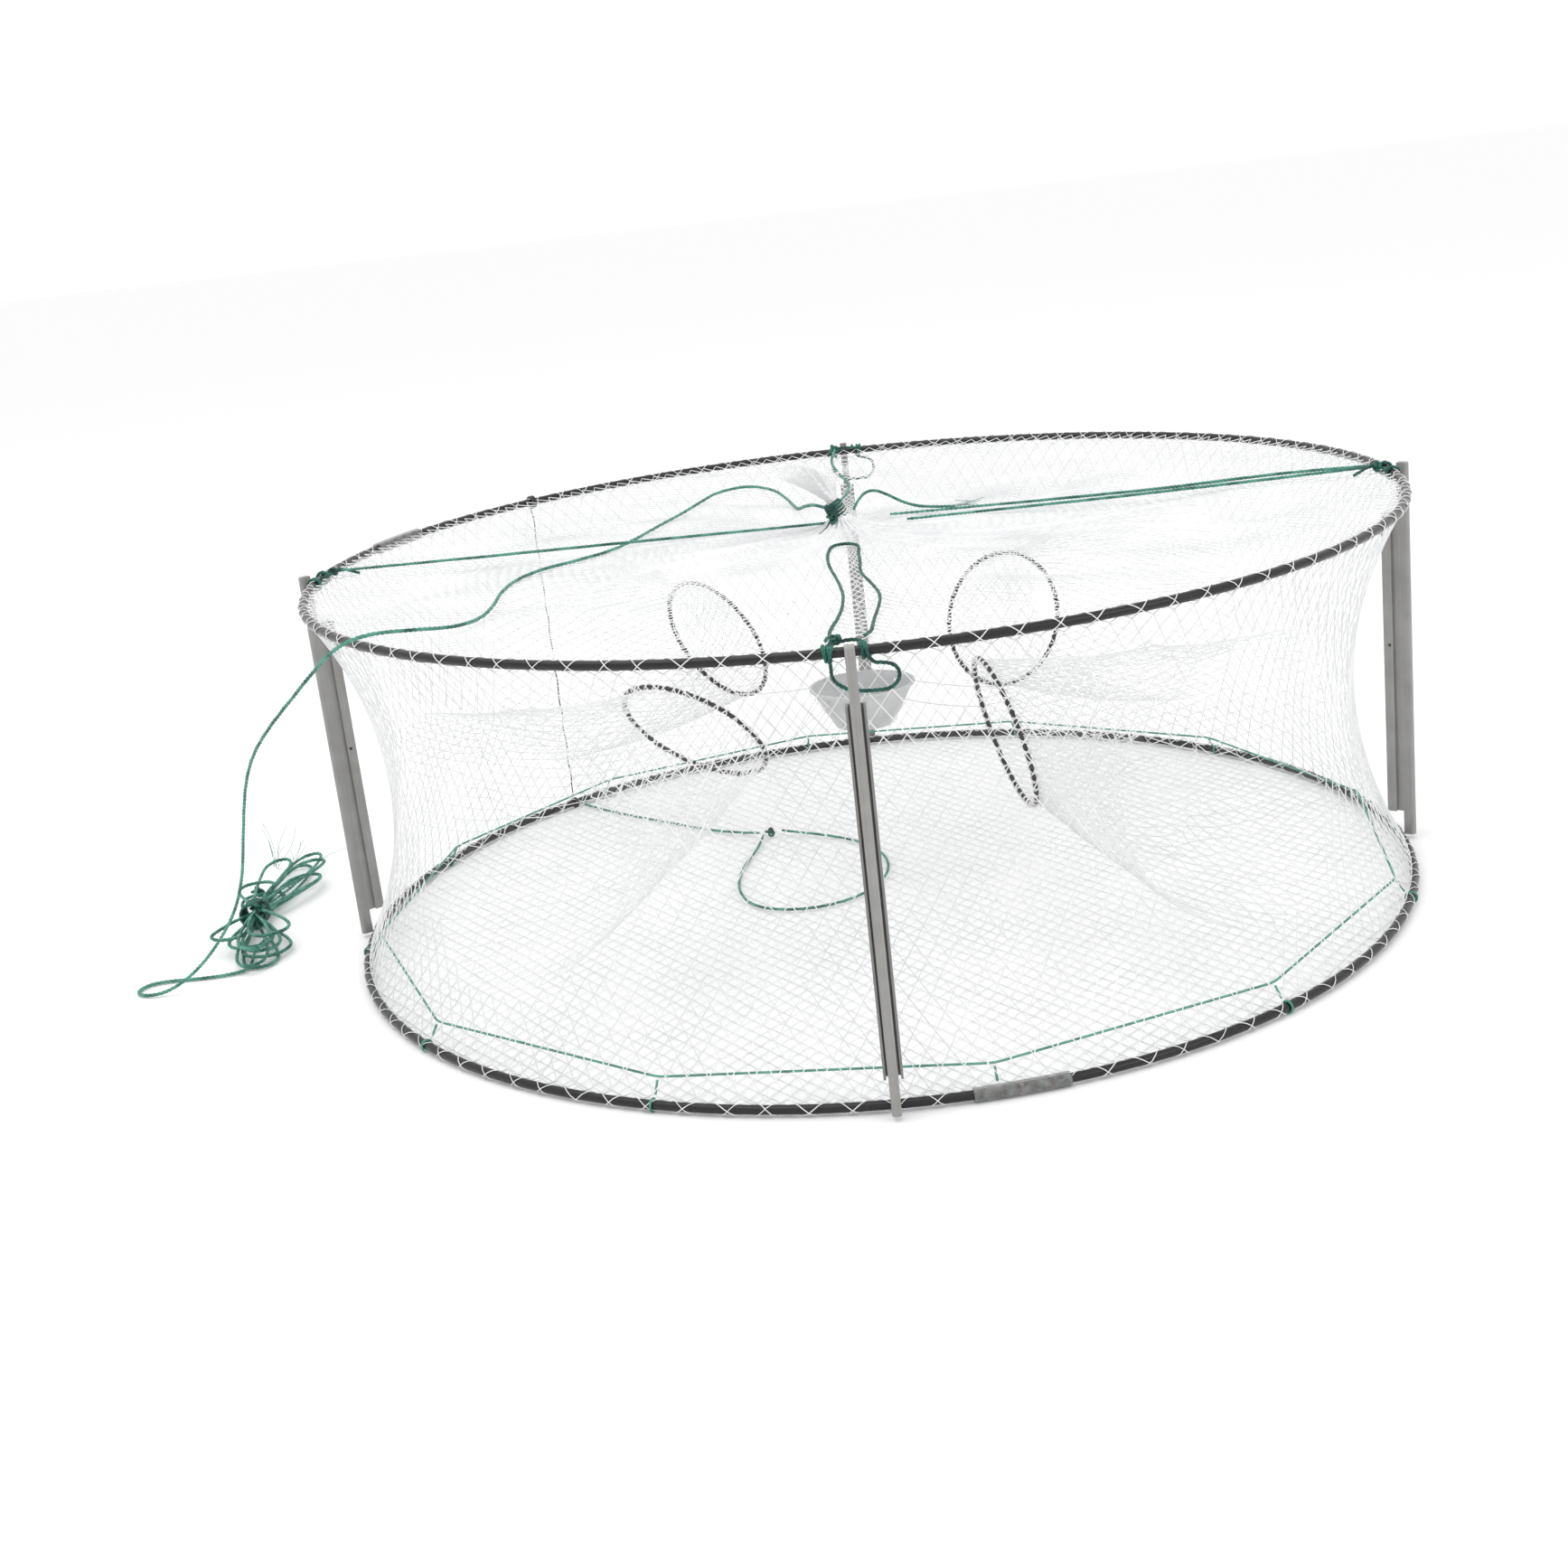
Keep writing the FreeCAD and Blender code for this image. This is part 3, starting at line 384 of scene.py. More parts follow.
def wound_piece(name, routes, thickness, finish, body, stands_for=()):
    """Twisted cord wound and knotted in place, as one piece."""
    parts = []
    for points in routes:
        parts += twisted(smooth_line(points, 4), thickness, thickness * LAY)
    piece = mesh_piece(name, parts, finish)
    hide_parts(*stands_for)
    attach(piece, body)
    return piece


def lump(centre, size, tilt):
    """The line of a tight overhand knot about as wide as a size."""
    turn = Matrix.Rotation(math.radians(tilt), 3, "Z") @ Matrix.Rotation(0.5, 3, "X")
    points = []
    for step in range(25):
        angle = step / 24 * 2 * math.pi
        spot = Vector((math.sin(angle) + 2 * math.sin(2 * angle),
                       math.cos(angle) - 2 * math.cos(2 * angle),
                       -1.1 * math.sin(3 * angle))) * size / 5.6
        points.append(Vector(centre) + turn @ spot)
    return points


# the binding round the hank is the green cord darkened with painted shade
wound_piece("hank_binding", [
    winding((-0.5105, 0.0394, 0.0122), (0.02, 1, 0), 0.0102, 6.5, 0.0026, phase=1),
    lump((-0.5030, 0.0330, 0.0205), 0.0085, 30),
    lump((-0.5290, 0.1120, 0.0065), 0.0095, 70),
], 0.0028, dark_green_cord, "base", stands_for=("haul_hank_binding",))


def frayed(name, root, towards, count, reach, spread, body, seed):
    """Loose fibres that fan out of a cut end."""
    wander = random.Random(seed)
    parts = []
    for _ in range(count):
        way = Vector(towards).normalized()
        way += Vector([wander.gauss(0, spread) for _ in range(3)])
        bend = Vector([wander.gauss(0, spread) for _ in range(3)])
        bend.z = abs(bend.z) * 0.4
        long = reach * wander.uniform(0.55, 1)
        start = Vector(root) + Vector([wander.gauss(0, 0.0012) for _ in range(3)])
        points = [start, start + way * long * 0.35,
                  start + way * long * 0.7 + bend * long * 0.2,
                  start + way * long + bend * long * 0.7]
        for point in points:
            point.z = max(point.z, 0.0008)
        parts.append(tube_mesh(smooth_line(points, 5), 0.00022, 3))
    piece = mesh_piece(name, parts, green_cord)
    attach(piece, body)
    return piece


frayed("haul_end_fray", (-0.522, 0.150, 0.014), (-0.15, 0.9, 0.50), 9, 0.052, 0.20, "base", 3)
frayed("haul_end_wisps", (-0.505, 0.140, 0.016), (0.55, 0.75, 0.30), 8, 0.042, 0.20, "base", 5)


# ---- Slack cords over the top net ----------------------------------------------------
# Shorter lengths of the same kind of cord, tied to the top hoop beside the props: a slack
# loop in front, a slack strand behind, and the tail of the binding round the gather.

CORD_THICKNESS = 0.0025
FRONT_LOOP_ROUTE = [
    (-0.0080, -0.3844, 0.2892), (-0.0120, -0.366, 0.2863), (-0.0110, -0.338, 0.2848),
    (-0.0060, -0.302, 0.2835), (-0.0030, -0.258, 0.2825), (-0.0040, -0.212, 0.2819),
    (-0.0090, -0.166, 0.2819), (-0.0130, -0.128, 0.2822), (-0.0140, -0.098, 0.2826),
    (-0.0125, -0.080, 0.2830), (-0.0115, -0.069, 0.2832), (-0.0064, -0.0615, 0.2834),
    (0.0022, -0.062, 0.2834), (0.0075, -0.069, 0.2832), (0.0087, -0.080, 0.2830),
    (0.0080, -0.098, 0.2826), (0.0090, -0.128, 0.2822), (0.0080, -0.164, 0.2819),
    (0.0160, -0.206, 0.2819), (0.0210, -0.250, 0.2824), (0.0170, -0.296, 0.2834),
    (0.0140, -0.336, 0.2848), (0.0130, -0.362, 0.2862), (0.0090, -0.382, 0.2892),
]
laid_cord("front_loop", FRONT_LOOP_ROUTE, CORD_THICKNESS, dark_green_cord, "top_frame",
          FRONT_LOOP_ROUTE[0], stands_for=("front_slack_loop",))

BACK_SLACK_ROUTE = [
    (-0.0080, 0.3844, 0.2892), (-0.0100, 0.366, 0.2863), (-0.0120, 0.338, 0.2848),
    (-0.0080, 0.300, 0.2835), (-0.0020, 0.258, 0.2825), (0.0040, 0.214, 0.2819),
    (0.0020, 0.170, 0.2819), (-0.0060, 0.128, 0.2822), (-0.0080, 0.088, 0.2828),
    (-0.0030, 0.054, 0.2836), (-0.0010, 0.030, 0.2860), (-0.0010, 0.011, 0.2910),
]
laid_cord("back_strand", BACK_SLACK_ROUTE, CORD_THICKNESS, green_cord, "top_frame",
          BACK_SLACK_ROUTE[0], stands_for=("back_slack_strand",))

GATHER_TAIL_ROUTE = [
    (0.0070, 0.0065, 0.2960), (0.0120, 0.017, 0.3035), (0.0220, 0.032, 0.3055),
    (0.0330, 0.047, 0.2980), (0.0460, 0.055, 0.2885), (0.0620, 0.055, 0.2834),
    (0.0840, 0.051, 0.2829),
]
laid_cord("gather_cord_tail", GATHER_TAIL_ROUTE, CORD_THICKNESS, green_cord, "top_frame",
          GATHER_TAIL_ROUTE[0], stands_for=("gather_tail",))
frayed("gather_tail_fray", GATHER_TAIL_ROUTE[-1], (1, -0.1, 0.08), 7, 0.022, 0.10,
       "top_frame", 9)


# ---- Braces --------------------------------------------------------------------------
# Taut strands from the ties at the hoop to the middle of the top net: one on the left and
# two on the right, which twist round each other a little way in from the hoop.

LEFT_BRACE = [(-0.385, 0.0090, 0.2900), (-0.290, 0.0064, 0.2894), (-0.195, 0.0058, 0.2892),
              (-0.100, 0.0034, 0.2888), (-0.0097, 0.0020, 0.2885)]
RIGHT_NEAR = [(0.385, -0.0085, 0.2900), (0.335, -0.0050, 0.2884), (0.290, -0.0030, 0.2874),
              (0.240, 0.0010, 0.2862), (0.190, 0.0020, 0.2855), (0.120, 0.0070, 0.2846),
              (0.046, 0.0110, 0.2838)]
RIGHT_FAR = [(0.385, -0.0046, 0.2900), (0.345, 0.0060, 0.2896), (0.290, 0.0012, 0.2898),
             (0.245, -0.0006, 0.2888), (0.190, 0.0150, 0.2862), (0.120, 0.0260, 0.2850),
             (0.034, 0.0380, 0.2840)]
laid_cord("left_brace_cord", LEFT_BRACE, CORD_THICKNESS, green_cord, "top_frame",
          LEFT_BRACE[0], stands_for=("left_brace",), steps=48)
laid_cord("right_brace_far", RIGHT_FAR, CORD_THICKNESS, green_cord, "top_frame",
          RIGHT_FAR[0], steps=34)
laid_cord("right_brace_near", RIGHT_NEAR, CORD_THICKNESS, green_cord, "top_frame",
          RIGHT_NEAR[0], stands_for=("right_brace",), steps=34)


# ---- Ties at the top hoop ------------------------------------------------------------
# Each brace ends in a few turns round the hoop on both sides of a prop, pulled into a hard
# knot with short tails, darkened with painted shade. In front and behind, spare cord hangs out
# in a small bow, also darkened with painted shade.

RING = 0.400
HIGH = 0.2848
LOW = 0.0048


def at_side(azimuth, out, aside, height):
    """A place given by its distance out from the axis and aside from an azimuth."""
    turn = Matrix.Rotation(math.radians(azimuth), 3, "Z")
    return turn @ Vector((out, aside, height))


def tie(name, azimuth, hand):
    """The turns, knot and tails of one tie."""
    along = at_side(azimuth, 0, 1, 0)
    routes = []
    near = 0.0133 if name.startswith("left") else 0.0083
    for aside, turns in ((-0.0133, 1.9), (near, 2.1)):
        centre = at_side(azimuth, RING, aside, HIGH)
        routes.append(winding(centre, along, 0.0045, turns, 0.0026, phase=hand))
    knot_spot = at_side(azimuth, RING - 0.0105, 0.008 * hand, HIGH + 0.0050)
    routes.append(lump(knot_spot, 0.0078, azimuth + 20))
    routes.append([
        at_side(azimuth, RING - 0.004, -0.0125, HIGH + 0.0030),
        at_side(azimuth, RING - 0.009, -0.0060, HIGH + 0.0042),
        at_side(azimuth, RING - 0.010, 0.0010, HIGH + 0.0046),
        at_side(azimuth, RING - 0.008, 0.0060, HIGH + 0.0044),
        at_side(azimuth, RING - 0.004, 0.0090, HIGH + 0.0034)])
    routes.append([
        knot_spot,
        knot_spot + at_side(azimuth, -0.006, 0.003 * hand, 0.0010),
        knot_spot + at_side(azimuth, -0.013, 0.005 * hand, -0.0020),
        knot_spot + at_side(azimuth, -0.018, 0.006 * hand, -0.0042)])
    if azimuth in (-90, 90):
        swing = 1 if azimuth < 0 else -1
        for aside, near in ((0.0136, 0.0098), (-0.0115, -0.0120)):
            rise = -0.0069 if aside > 0 else -0.0072
            routes.append([
                at_side(azimuth, RING + 0.0030, swing * aside, HIGH + rise),
                at_side(azimuth, RING + 0.0046, swing * (aside + near) / 2, HIGH - 0.0052),
                at_side(azimuth, RING + 0.0055, swing * near, HIGH - 0.0016),
                at_side(azimuth, RING + 0.0030, swing * near * 0.8, HIGH + 0.0048)])
    wound_piece(name, routes, CORD_THICKNESS, dark_green_cord, "top_frame",
                stands_for=(name.replace("_knot", ""),))


tie("front_tie_knot", -90, -1)
tie("right_tie_knot", 0, -1)
tie("back_tie_knot", 90, 1)
tie("left_tie_knot", 180, -1)

BOW_SHAPE = [
    (0.0026, -0.0115, -0.0072), (-0.0010, -0.0122, -0.0135), (-0.0056, -0.0092, -0.0196),
    (-0.0070, -0.0030, -0.0238), (-0.0074, 0.0050, -0.0254), (-0.0070, 0.0140, -0.0257),
    (-0.0064, 0.0210, -0.0252), (-0.0044, 0.0263, -0.0200), (-0.0010, 0.0266, -0.0126),
    (0.0020, 0.0212, -0.0076), (0.0030, 0.0136, -0.0069),
]


def bow(name, azimuth, hand, stands_for):
    route = [at_side(azimuth, RING + out, hand * aside, HIGH + rise)
             for out, aside, rise in BOW_SHAPE]
    laid_cord(name, route, CORD_THICKNESS, dark_green_cord, "top_frame", route[0],
              stands_for=(stands_for,), steps=8)


bow("front_bow_loop", -90, 1, "front_bow")
bow("back_bow_loop", 90, -1, "back_bow")


# ---- Floor cord ----------------------------------------------------------------------
# The loose end of the cord that closes the seam at the back left. It runs in over the
# floor net to a knot, and is left there in a big open loop.

FLOOR_LEAD_ROUTE = [
    (-0.268, 0.284, 0.0028), (-0.246, 0.260, 0.0027), (-0.216, 0.232, 0.0026),
    (-0.182, 0.204, 0.0026), (-0.150, 0.176, 0.0026), (-0.122, 0.158, 0.0027),
    (-0.102, 0.146, 0.0044),
]
FLOOR_RING_ROUTE = [
    (-0.098, 0.136, 0.0054), (-0.100, 0.116, 0.0032), (-0.108, 0.084, 0.0027),
    (-0.114, 0.050, 0.0026), (-0.114, 0.014, 0.0026), (-0.106, -0.018, 0.0026),
    (-0.088, -0.039, 0.0027), (-0.060, -0.046, 0.0026), (-0.030, -0.038, 0.0026),
    (-0.006, -0.014, 0.0027), (0.006, 0.020, 0.0026), (0.006, 0.056, 0.0026),
    (-0.006, 0.090, 0.0027), (-0.030, 0.118, 0.0026), (-0.060, 0.137, 0.0032),
    (-0.082, 0.144, 0.0054),
]
laid_cord("floor_cord_lead", FLOOR_LEAD_ROUTE, CORD_THICKNESS, green_cord, "base",
          FLOOR_LEAD_ROUTE[0], stands_for=("floor_cord",))
wound_piece("floor_knot", [lump((-0.092, 0.143, 0.0052), 0.0075, 40)], 0.0022,
            dark_green_cord, "base", stands_for=("floor_cord_knot",))
laid_cord("floor_cord_loop", FLOOR_RING_ROUTE, CORD_THICKNESS, green_cord, "base",
          FLOOR_RING_ROUTE[0])


# ---- Hoops and their sleeves ---------------------------------------------------------
# Two six-millimetre steel wires rolled into hoops and dipped in black plastic. The ends of
# each are pushed into a short translucent tube, which keeps the hoop closed.

def wire_finish():
    """Black plastic dip: smooth and glossy, with thin scuffs that show greyer."""
    finish, shader, place = new_finish("coated_wire", {
        "Specular IOR Level": 0.35, "Coat Roughness": 0.12})
    scuffs = noise(place, 160.0, 5.0, 0.7)
    fine = noise(place, 900.0, 2.0)
    shade = shaded(scuffs, [
        (0.40, (0.0025, 0.0025, 0.003)), (0.64, (0.008, 0.008, 0.009)),
        (0.82, (0.06, 0.06, 0.063))])
    feed(shader, "Base Color", shade)
    feed(shader, "Roughness", scuffs * 0.35 + 0.14)
    feed(shader, "Coat Weight", 0.35 - scuffs * 0.3)
    feed(shader, "Normal", bumped(place, fine, 0.25, 0.0003))
    return finish


coated_wire = wire_finish()


def dress(node_name, finish):
    """Give a CAD piece a finish."""
    piece = nodes[node_name]
    piece.data.materials.clear()
    piece.data.materials.append(finish)


for hoop in ("bottom_ring", "top_ring"):
    dress(hoop, coated_wire)


def sleeve_finish():
    """Soft clear tube gone slightly milky, with drawn lines along it."""
    finish, shader, place = new_finish("clear_sleeve", {
        "Specular IOR Level": 0.6, "IOR": 1.45, "Subsurface Weight": 0.15})
    mist = noise(place, 220.0, 3.0)
    shade = shaded(mist, [(0.35, (0.17, 0.17, 0.165)), (0.70, (0.33, 0.33, 0.325))])
    feed(shader, "Base Color", shade)
    feed(shader, "Roughness", mist * 0.3 + 0.18)
    feed(shader, "Alpha", mist * 0.25 + 0.38)
    return finish


clear_sleeve = sleeve_finish()
for sleeve in ("bottom_ring_sleeve", "top_ring_sleeve"):
    dress(sleeve, clear_sleeve)


# ---- Netting -------------------------------------------------------------------------
# White knotted nylon net in small diamonds. One strip makes the wall, pulled in at the
# waist, a flat piece closes the bottom, and a tube of net is drawn together over the top.

def netting_finish():
    """Fine nylon twine: white and softly shiny, with a faint painted glow that stands in for
    the light shining through its thickness.
    """
    finish, shader, place = new_finish("white_netting", {
        "Specular IOR Level": 0.3, "Emission Strength": 0.07})
    tone = noise(place, 14.0, 4.0, 0.6)
    shade = shaded(tone, [(0.30, (0.70, 0.71, 0.72)), (0.70, (0.90, 0.90, 0.90))])
    feed(shader, "Base Color", shade)
    feed(shader, "Roughness", tone * 0.2 + 0.35)
    # painted light: the threads glow faintly in their own colour
    feed(shader, "Emission Color", shade)
    return finish


white_netting = netting_finish()


def haze_finish():
    """What the finest fibres of the net add: a very thin veil, thicker along the folds, with a
    faint painted glow.
    """
    finish, shader, place = new_finish("net_veil", {
        "Specular IOR Level": 0.0, "Emission Strength": 0.05})
    folds = noise(place, 26.0, 4.0, 0.65)
    shade = shaded(folds, [(0.30, (0.76, 0.765, 0.77)), (0.70, (0.90, 0.90, 0.90))])
    feed(shader, "Base Color", shade)
    feed(shader, "Roughness", folds * 0.2 + 0.5)
    # painted light: the veil glows faintly in its own colour
    feed(shader, "Emission Color", shade)
    feed(shader, "Alpha", folds * 0.05 + 0.004)
    return finish


net_veil = haze_finish()


def threads(name, starts, ends, thickness):
    """Three-sided threads from many start points to many end points, as one piece."""
    starts = np.asarray(starts)
    ends = np.asarray(ends)
    ahead = ends - starts
    ahead /= np.linalg.norm(ahead, axis=1)[:, None] + 1e-12
    one = np.cross(ahead, (0.21, 0.13, 0.97))
    one /= np.linalg.norm(one, axis=1)[:, None] + 1e-12
    two = np.cross(ahead, one)
    corners = []
    for base in (starts, ends):
        for turn in (0, 2.0944, 4.1888):
            corners.append(base + thickness / 2 * (one * math.cos(turn) + two * math.sin(turn)))
    corners = np.stack(corners, axis=1).reshape(-1, 3)
    first = np.arange(len(starts))[:, None] * 6
    quads = np.concatenate([
        first + np.array([0, 1, 4, 3]), first + np.array([1, 2, 5, 4]),
        first + np.array([2, 0, 3, 5])])
    mesh = bpy.data.meshes.new(name)
    mesh.from_pydata(corners, [], quads)
    mesh.materials.append(white_netting)
    mesh.polygons.foreach_set("use_smooth", [True] * len(mesh.polygons))
    piece = bpy.data.objects.new(name, mesh)
    bpy.context.collection.objects.link(piece)
    return piece


def diamonds(place, around, rows, keep=None, closed=True):
    """Start and end points of the bars of a diamond net whose knots a function places."""
    knots = []
    for row in range(rows + 1):
        shift = 0.5 * (row % 2)
        count = around if closed else around + 1
        knots.append([place((column + shift) / around, row / rows) for column in range(count)])
    starts = []
    ends = []
    for row in range(rows):
        step = 1 if row % 2 else 0
        for column in range(len(knots[row])):
            for neighbour in (column - 1 + step, column + step):
                if closed:
                    neighbour %= around
                elif not 0 <= neighbour < len(knots[row + 1]):
                    continue
                here = knots[row][column]
                there = knots[row + 1][neighbour]
                if keep is None or (keep(here) and keep(there)):
                    starts.append(here)
                    ends.append(there)
    return starts, ends


def ripple(seed, waves, size):
    """A smooth wandering offset round the trap, made of a few sine waves."""
    draw = random.Random(seed)
    terms = [(count, draw.uniform(0, 6.28), draw.uniform(0.4, 1) * size) for count in waves]

    def value(turn, along):
        return sum(high * math.sin(count * turn * 2 * math.pi + start + along * 2.1)
                   for count, start, high in terms)
    return value


EDGE_RADIUS = 0.398
WAIST = 0.037
WALL_FOOT = LOW + 0.0062
WALL_TOP = HIGH - 0.0062


def on_circle(angle, radius, height):
    """A place at an angle round the axis."""
    return (radius * math.cos(angle), radius * math.sin(angle), height)


def wall_radius(height):
    """How far out the side net is at a height: drawn in at the waist."""
    middle = (WALL_FOOT + WALL_TOP) / 2
    half = (WALL_TOP - WALL_FOOT) / 2
    return EDGE_RADIUS - WAIST * (1 - min(1, abs(height - middle) / half) ** 2)


# each entry: its hoop's azimuth and height, where the hoop faces, its lean, and the
# azimuth of the mouth in the wall
ENTRIES = {
    "front_right": (-57.5, 0.158, 11, 13, -48),
    "back_right": (49, 0.172, 50, -18, 46),
    "back_left": (130, 0.179, 156, -33, 134),
    "front_left": (229, 0.176, 235, -40, 227),
}


HOOP_OUT = 0.180
MOUTH_OUT = 0.402
MOUTH_WIDE = 0.1255
MOUTH_TALL = 0.1005
NARROW_END = 0.0525
MOUTH_STEPS = 72
# radius at which an angle along the wall is measured as a width, near a mouth
MOUTH_REACH = 0.36


def entry_axes(azimuth, lean):
    """Level, rising and outward directions of a ring that faces an azimuth and leans."""
    flat = Vector((math.cos(math.radians(azimuth)), math.sin(math.radians(azimuth)), 0))
    normal = flat * math.cos(math.radians(lean)) + Vector((0, 0, math.sin(math.radians(lean))))
    level = Vector((0, 0, 1)).cross(normal).normalized()
    return level, normal.cross(level), normal


def funnel_line(side, turn):
    """Both ends of a funnel's line at a turn: on the plane of its mouth, and on its hoop."""
    azimuth, height, facing, lean, mouth = ENTRIES[side]
    level, rise, _ = entry_axes(mouth, 0)
    centre = at_side(mouth, MOUTH_OUT, 0, (LOW + HIGH) / 2)
    across, up, _ = on_circle(turn * 2 * math.pi, 1, 0)
    wide = centre + level * MOUTH_WIDE * across + rise * MOUTH_TALL * up
    level, rise, normal = entry_axes(facing, lean)
    centre = at_side(azimuth, HOOP_OUT, 0, height) + normal * 0.0026
    narrow = centre + level * NARROW_END * across + rise * NARROW_END * up
    return wide, narrow


def mouth_share(side, turn):
    """How far along its line a funnel meets the inside of the wall."""
    wide, narrow = funnel_line(side, turn)
    low, high = 0.0, 0.9
    for _ in range(18):
        middle = (low + high) / 2
        spot = wide.lerp(narrow, middle)
        if math.hypot(spot.x, spot.y) > wall_radius(spot.z) - 0.0008:
            low = middle
        else:
            high = middle
    return high


MOUTHS = {side: [mouth_share(side, step / MOUTH_STEPS) for step in range(MOUTH_STEPS + 1)]
          for side in ENTRIES}
MOUTH_EDGES = {}
for side in ENTRIES:
    edge = []
    for step in range(MOUTH_STEPS):
        wide, narrow = funnel_line(side, step / MOUTH_STEPS)
        spot = wide.lerp(narrow, MOUTHS[side][step])
        edge.append((math.atan2(spot.y, spot.x), spot.z))
    MOUTH_EDGES[side] = edge


def wrapped(angle):
    """An angle brought to between minus half a turn and half a turn."""
    return (angle + math.pi) % (2 * math.pi) - math.pi


def in_mouth(spot):
    """Whether a place on the wall is inside one of the four funnel mouths."""
    turn = math.atan2(spot[1], spot[0])
    for edge in MOUTH_EDGES.values():
        middle_turn = math.atan2(sum(math.sin(a) for a, _ in edge),
                                 sum(math.cos(a) for a, _ in edge))
        middle_height = sum(z for _, z in edge) / len(edge)
        aside = wrapped(turn - middle_turn) * MOUTH_REACH
        if abs(aside) > 0.42 * MOUTH_REACH:
            continue
        up = spot[2] - middle_height
        angle = math.atan2(up, aside)
        rim = [(wrapped(a - middle_turn) * MOUTH_REACH, z - middle_height) for a, z in edge]
        nearest = min(rim, key=lambda r: abs(wrapped(math.atan2(r[1], r[0]) - angle)))
        if math.hypot(aside, up) < math.hypot(*nearest) - 0.001:
            return True
    return False


WALL_ROWS = 28
wall_ripple = ripple(11, (3, 5, 9, 14, 23), 0.0011)


def wall_place(turn, share):
    """A knot of the side net: its rows wrap the hoops at both edges."""
    angle = turn * 2 * math.pi
    row = share * WALL_ROWS
    if row < 0.5:
        radius, height = RING - 0.0022, LOW + 0.0026
    elif row > WALL_ROWS - 0.5:
        radius, height = RING - 0.0022, HIGH - 0.0026
    else:
        height = WALL_FOOT + (WALL_TOP - WALL_FOOT) * (row - 1) / (WALL_ROWS - 2)
        radius = wall_radius(height) + wall_ripple(turn, share) * math.sin(share * math.pi)
        height += 0.0012 * math.sin(7 * angle + 3) * math.sin(share * math.pi)
    return on_circle(angle, radius, height)


start, end = diamonds(wall_place, 172, WALL_ROWS, keep=lambda spot: not in_mouth(spot))
side_threads = threads("side_net_threads", start, end, 0.00085)
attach(side_threads, "base")


def skin_piece(name, place, around, rows, drop=None, closed=True):
    """A thin sheet whose corners a function places."""
    corners = []
    for row in range(rows + 1):
        for column in range(around if closed else around + 1):
            corners.append(place(column / around, row / rows))
    wide = around if closed else around + 1
    faces = []
    for row in range(rows):
        for column in range(around):
            following = (column + 1) % wide
            face = (row * wide + column, row * wide + following,
                    (row + 1) * wide + following, (row + 1) * wide + column)
            middle = np.mean([corners[index] for index in face], axis=0)
            if drop is None or not drop(middle):
                faces.append(face)
    piece = mesh_piece(name, [(np.array(corners, float), faces)], net_veil)
    return piece


def wall_veil_place(turn, share):
    height = WALL_FOOT + (WALL_TOP - WALL_FOOT) * share
    return on_circle(turn * 2 * math.pi, wall_radius(height), height)


side_veil = skin_piece("side_net_veil", wall_veil_place, 288, 40, drop=in_mouth)
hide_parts("side_net")
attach(side_veil, "base")


def crumples(piece):
    """Give a soft piece between the hoops its own copy of its mesh."""
    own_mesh(piece)


crumples(side_threads)
crumples(side_veil)


# The floor net: a flat piece of the same netting, laced to the bottom hoop.

def floor_bars():
    """Bars of a flat net of diamonds, cut to a circle."""
    wide, tall = 0.0130, 0.0175
    limit = RING - 0.0030
    columns = int(limit / wide) + 2
    rows = int(limit / tall * 2) + 2

    def knot(across, row):
        """A knot a number of cells across; its row wanders a little from a straight one."""
        column = across - 0.5 * (row % 2)
        x = across * wide + 0.0025 * math.sin(row * 0.21 + column * 0.13)
        y = row * tall / 2
        return x, x + 0.001 * math.sin(y * 60), y

    starts = []
    ends = []
    for row in range(-rows, rows):
        for column in range(-columns, columns):
            across = column + 0.5 * (row % 2)
            x, *here = knot(across, row)
            height = 0.0009 + 0.0004 * math.sin(x * 40) ** 2
            for step in (-0.5, 0.5):
                _, *there = knot(across + step, row + 1)
                if math.hypot(*here) < limit and math.hypot(*there) < limit:
                    starts.append((*here, height))
                    ends.append((*there, height))
    return starts, ends


start, end = floor_bars()
floor_threads = threads("floor_net_threads", start, end, 0.00080)
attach(floor_threads, "base")


def floor_veil_place(turn, share):
    return on_circle(turn * 2 * math.pi, 0.002 + 0.3925 * share, 0.0006)


floor_veil = skin_piece("floor_net_veil", floor_veil_place, 96, 12)
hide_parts("bottom_net")
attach(floor_veil, "base")

# The top net: a tube of netting laced over the hoop, sagging, and gathered at the middle.

top_ripple = ripple(5, (4, 7, 11, 19), 0.0009)
TOP_EDGE = 0.394
TOP_ROWS = 54
NECK_FOOT = 0.030
NECK_HEIGHT = HIGH + 0.0200
NECK_SHIFT = 0.0078
# how far along its length the tube of net stops lying down and stands up as the neck
NECK_START = 0.93


def top_surface(radius):
    """Height of the top net: it sags between the hoop and the neck, and rises to it."""
    sag = 0.0050 * (1 - ((radius - 0.204) / 0.190) ** 2)
    if radius > NECK_FOOT:
        return HIGH - sag - 0.0020 * (TOP_EDGE - radius) / 0.380
    lift = (NECK_FOOT - radius) / 0.025
    return HIGH - 0.0018 + 0.010 * lift * lift


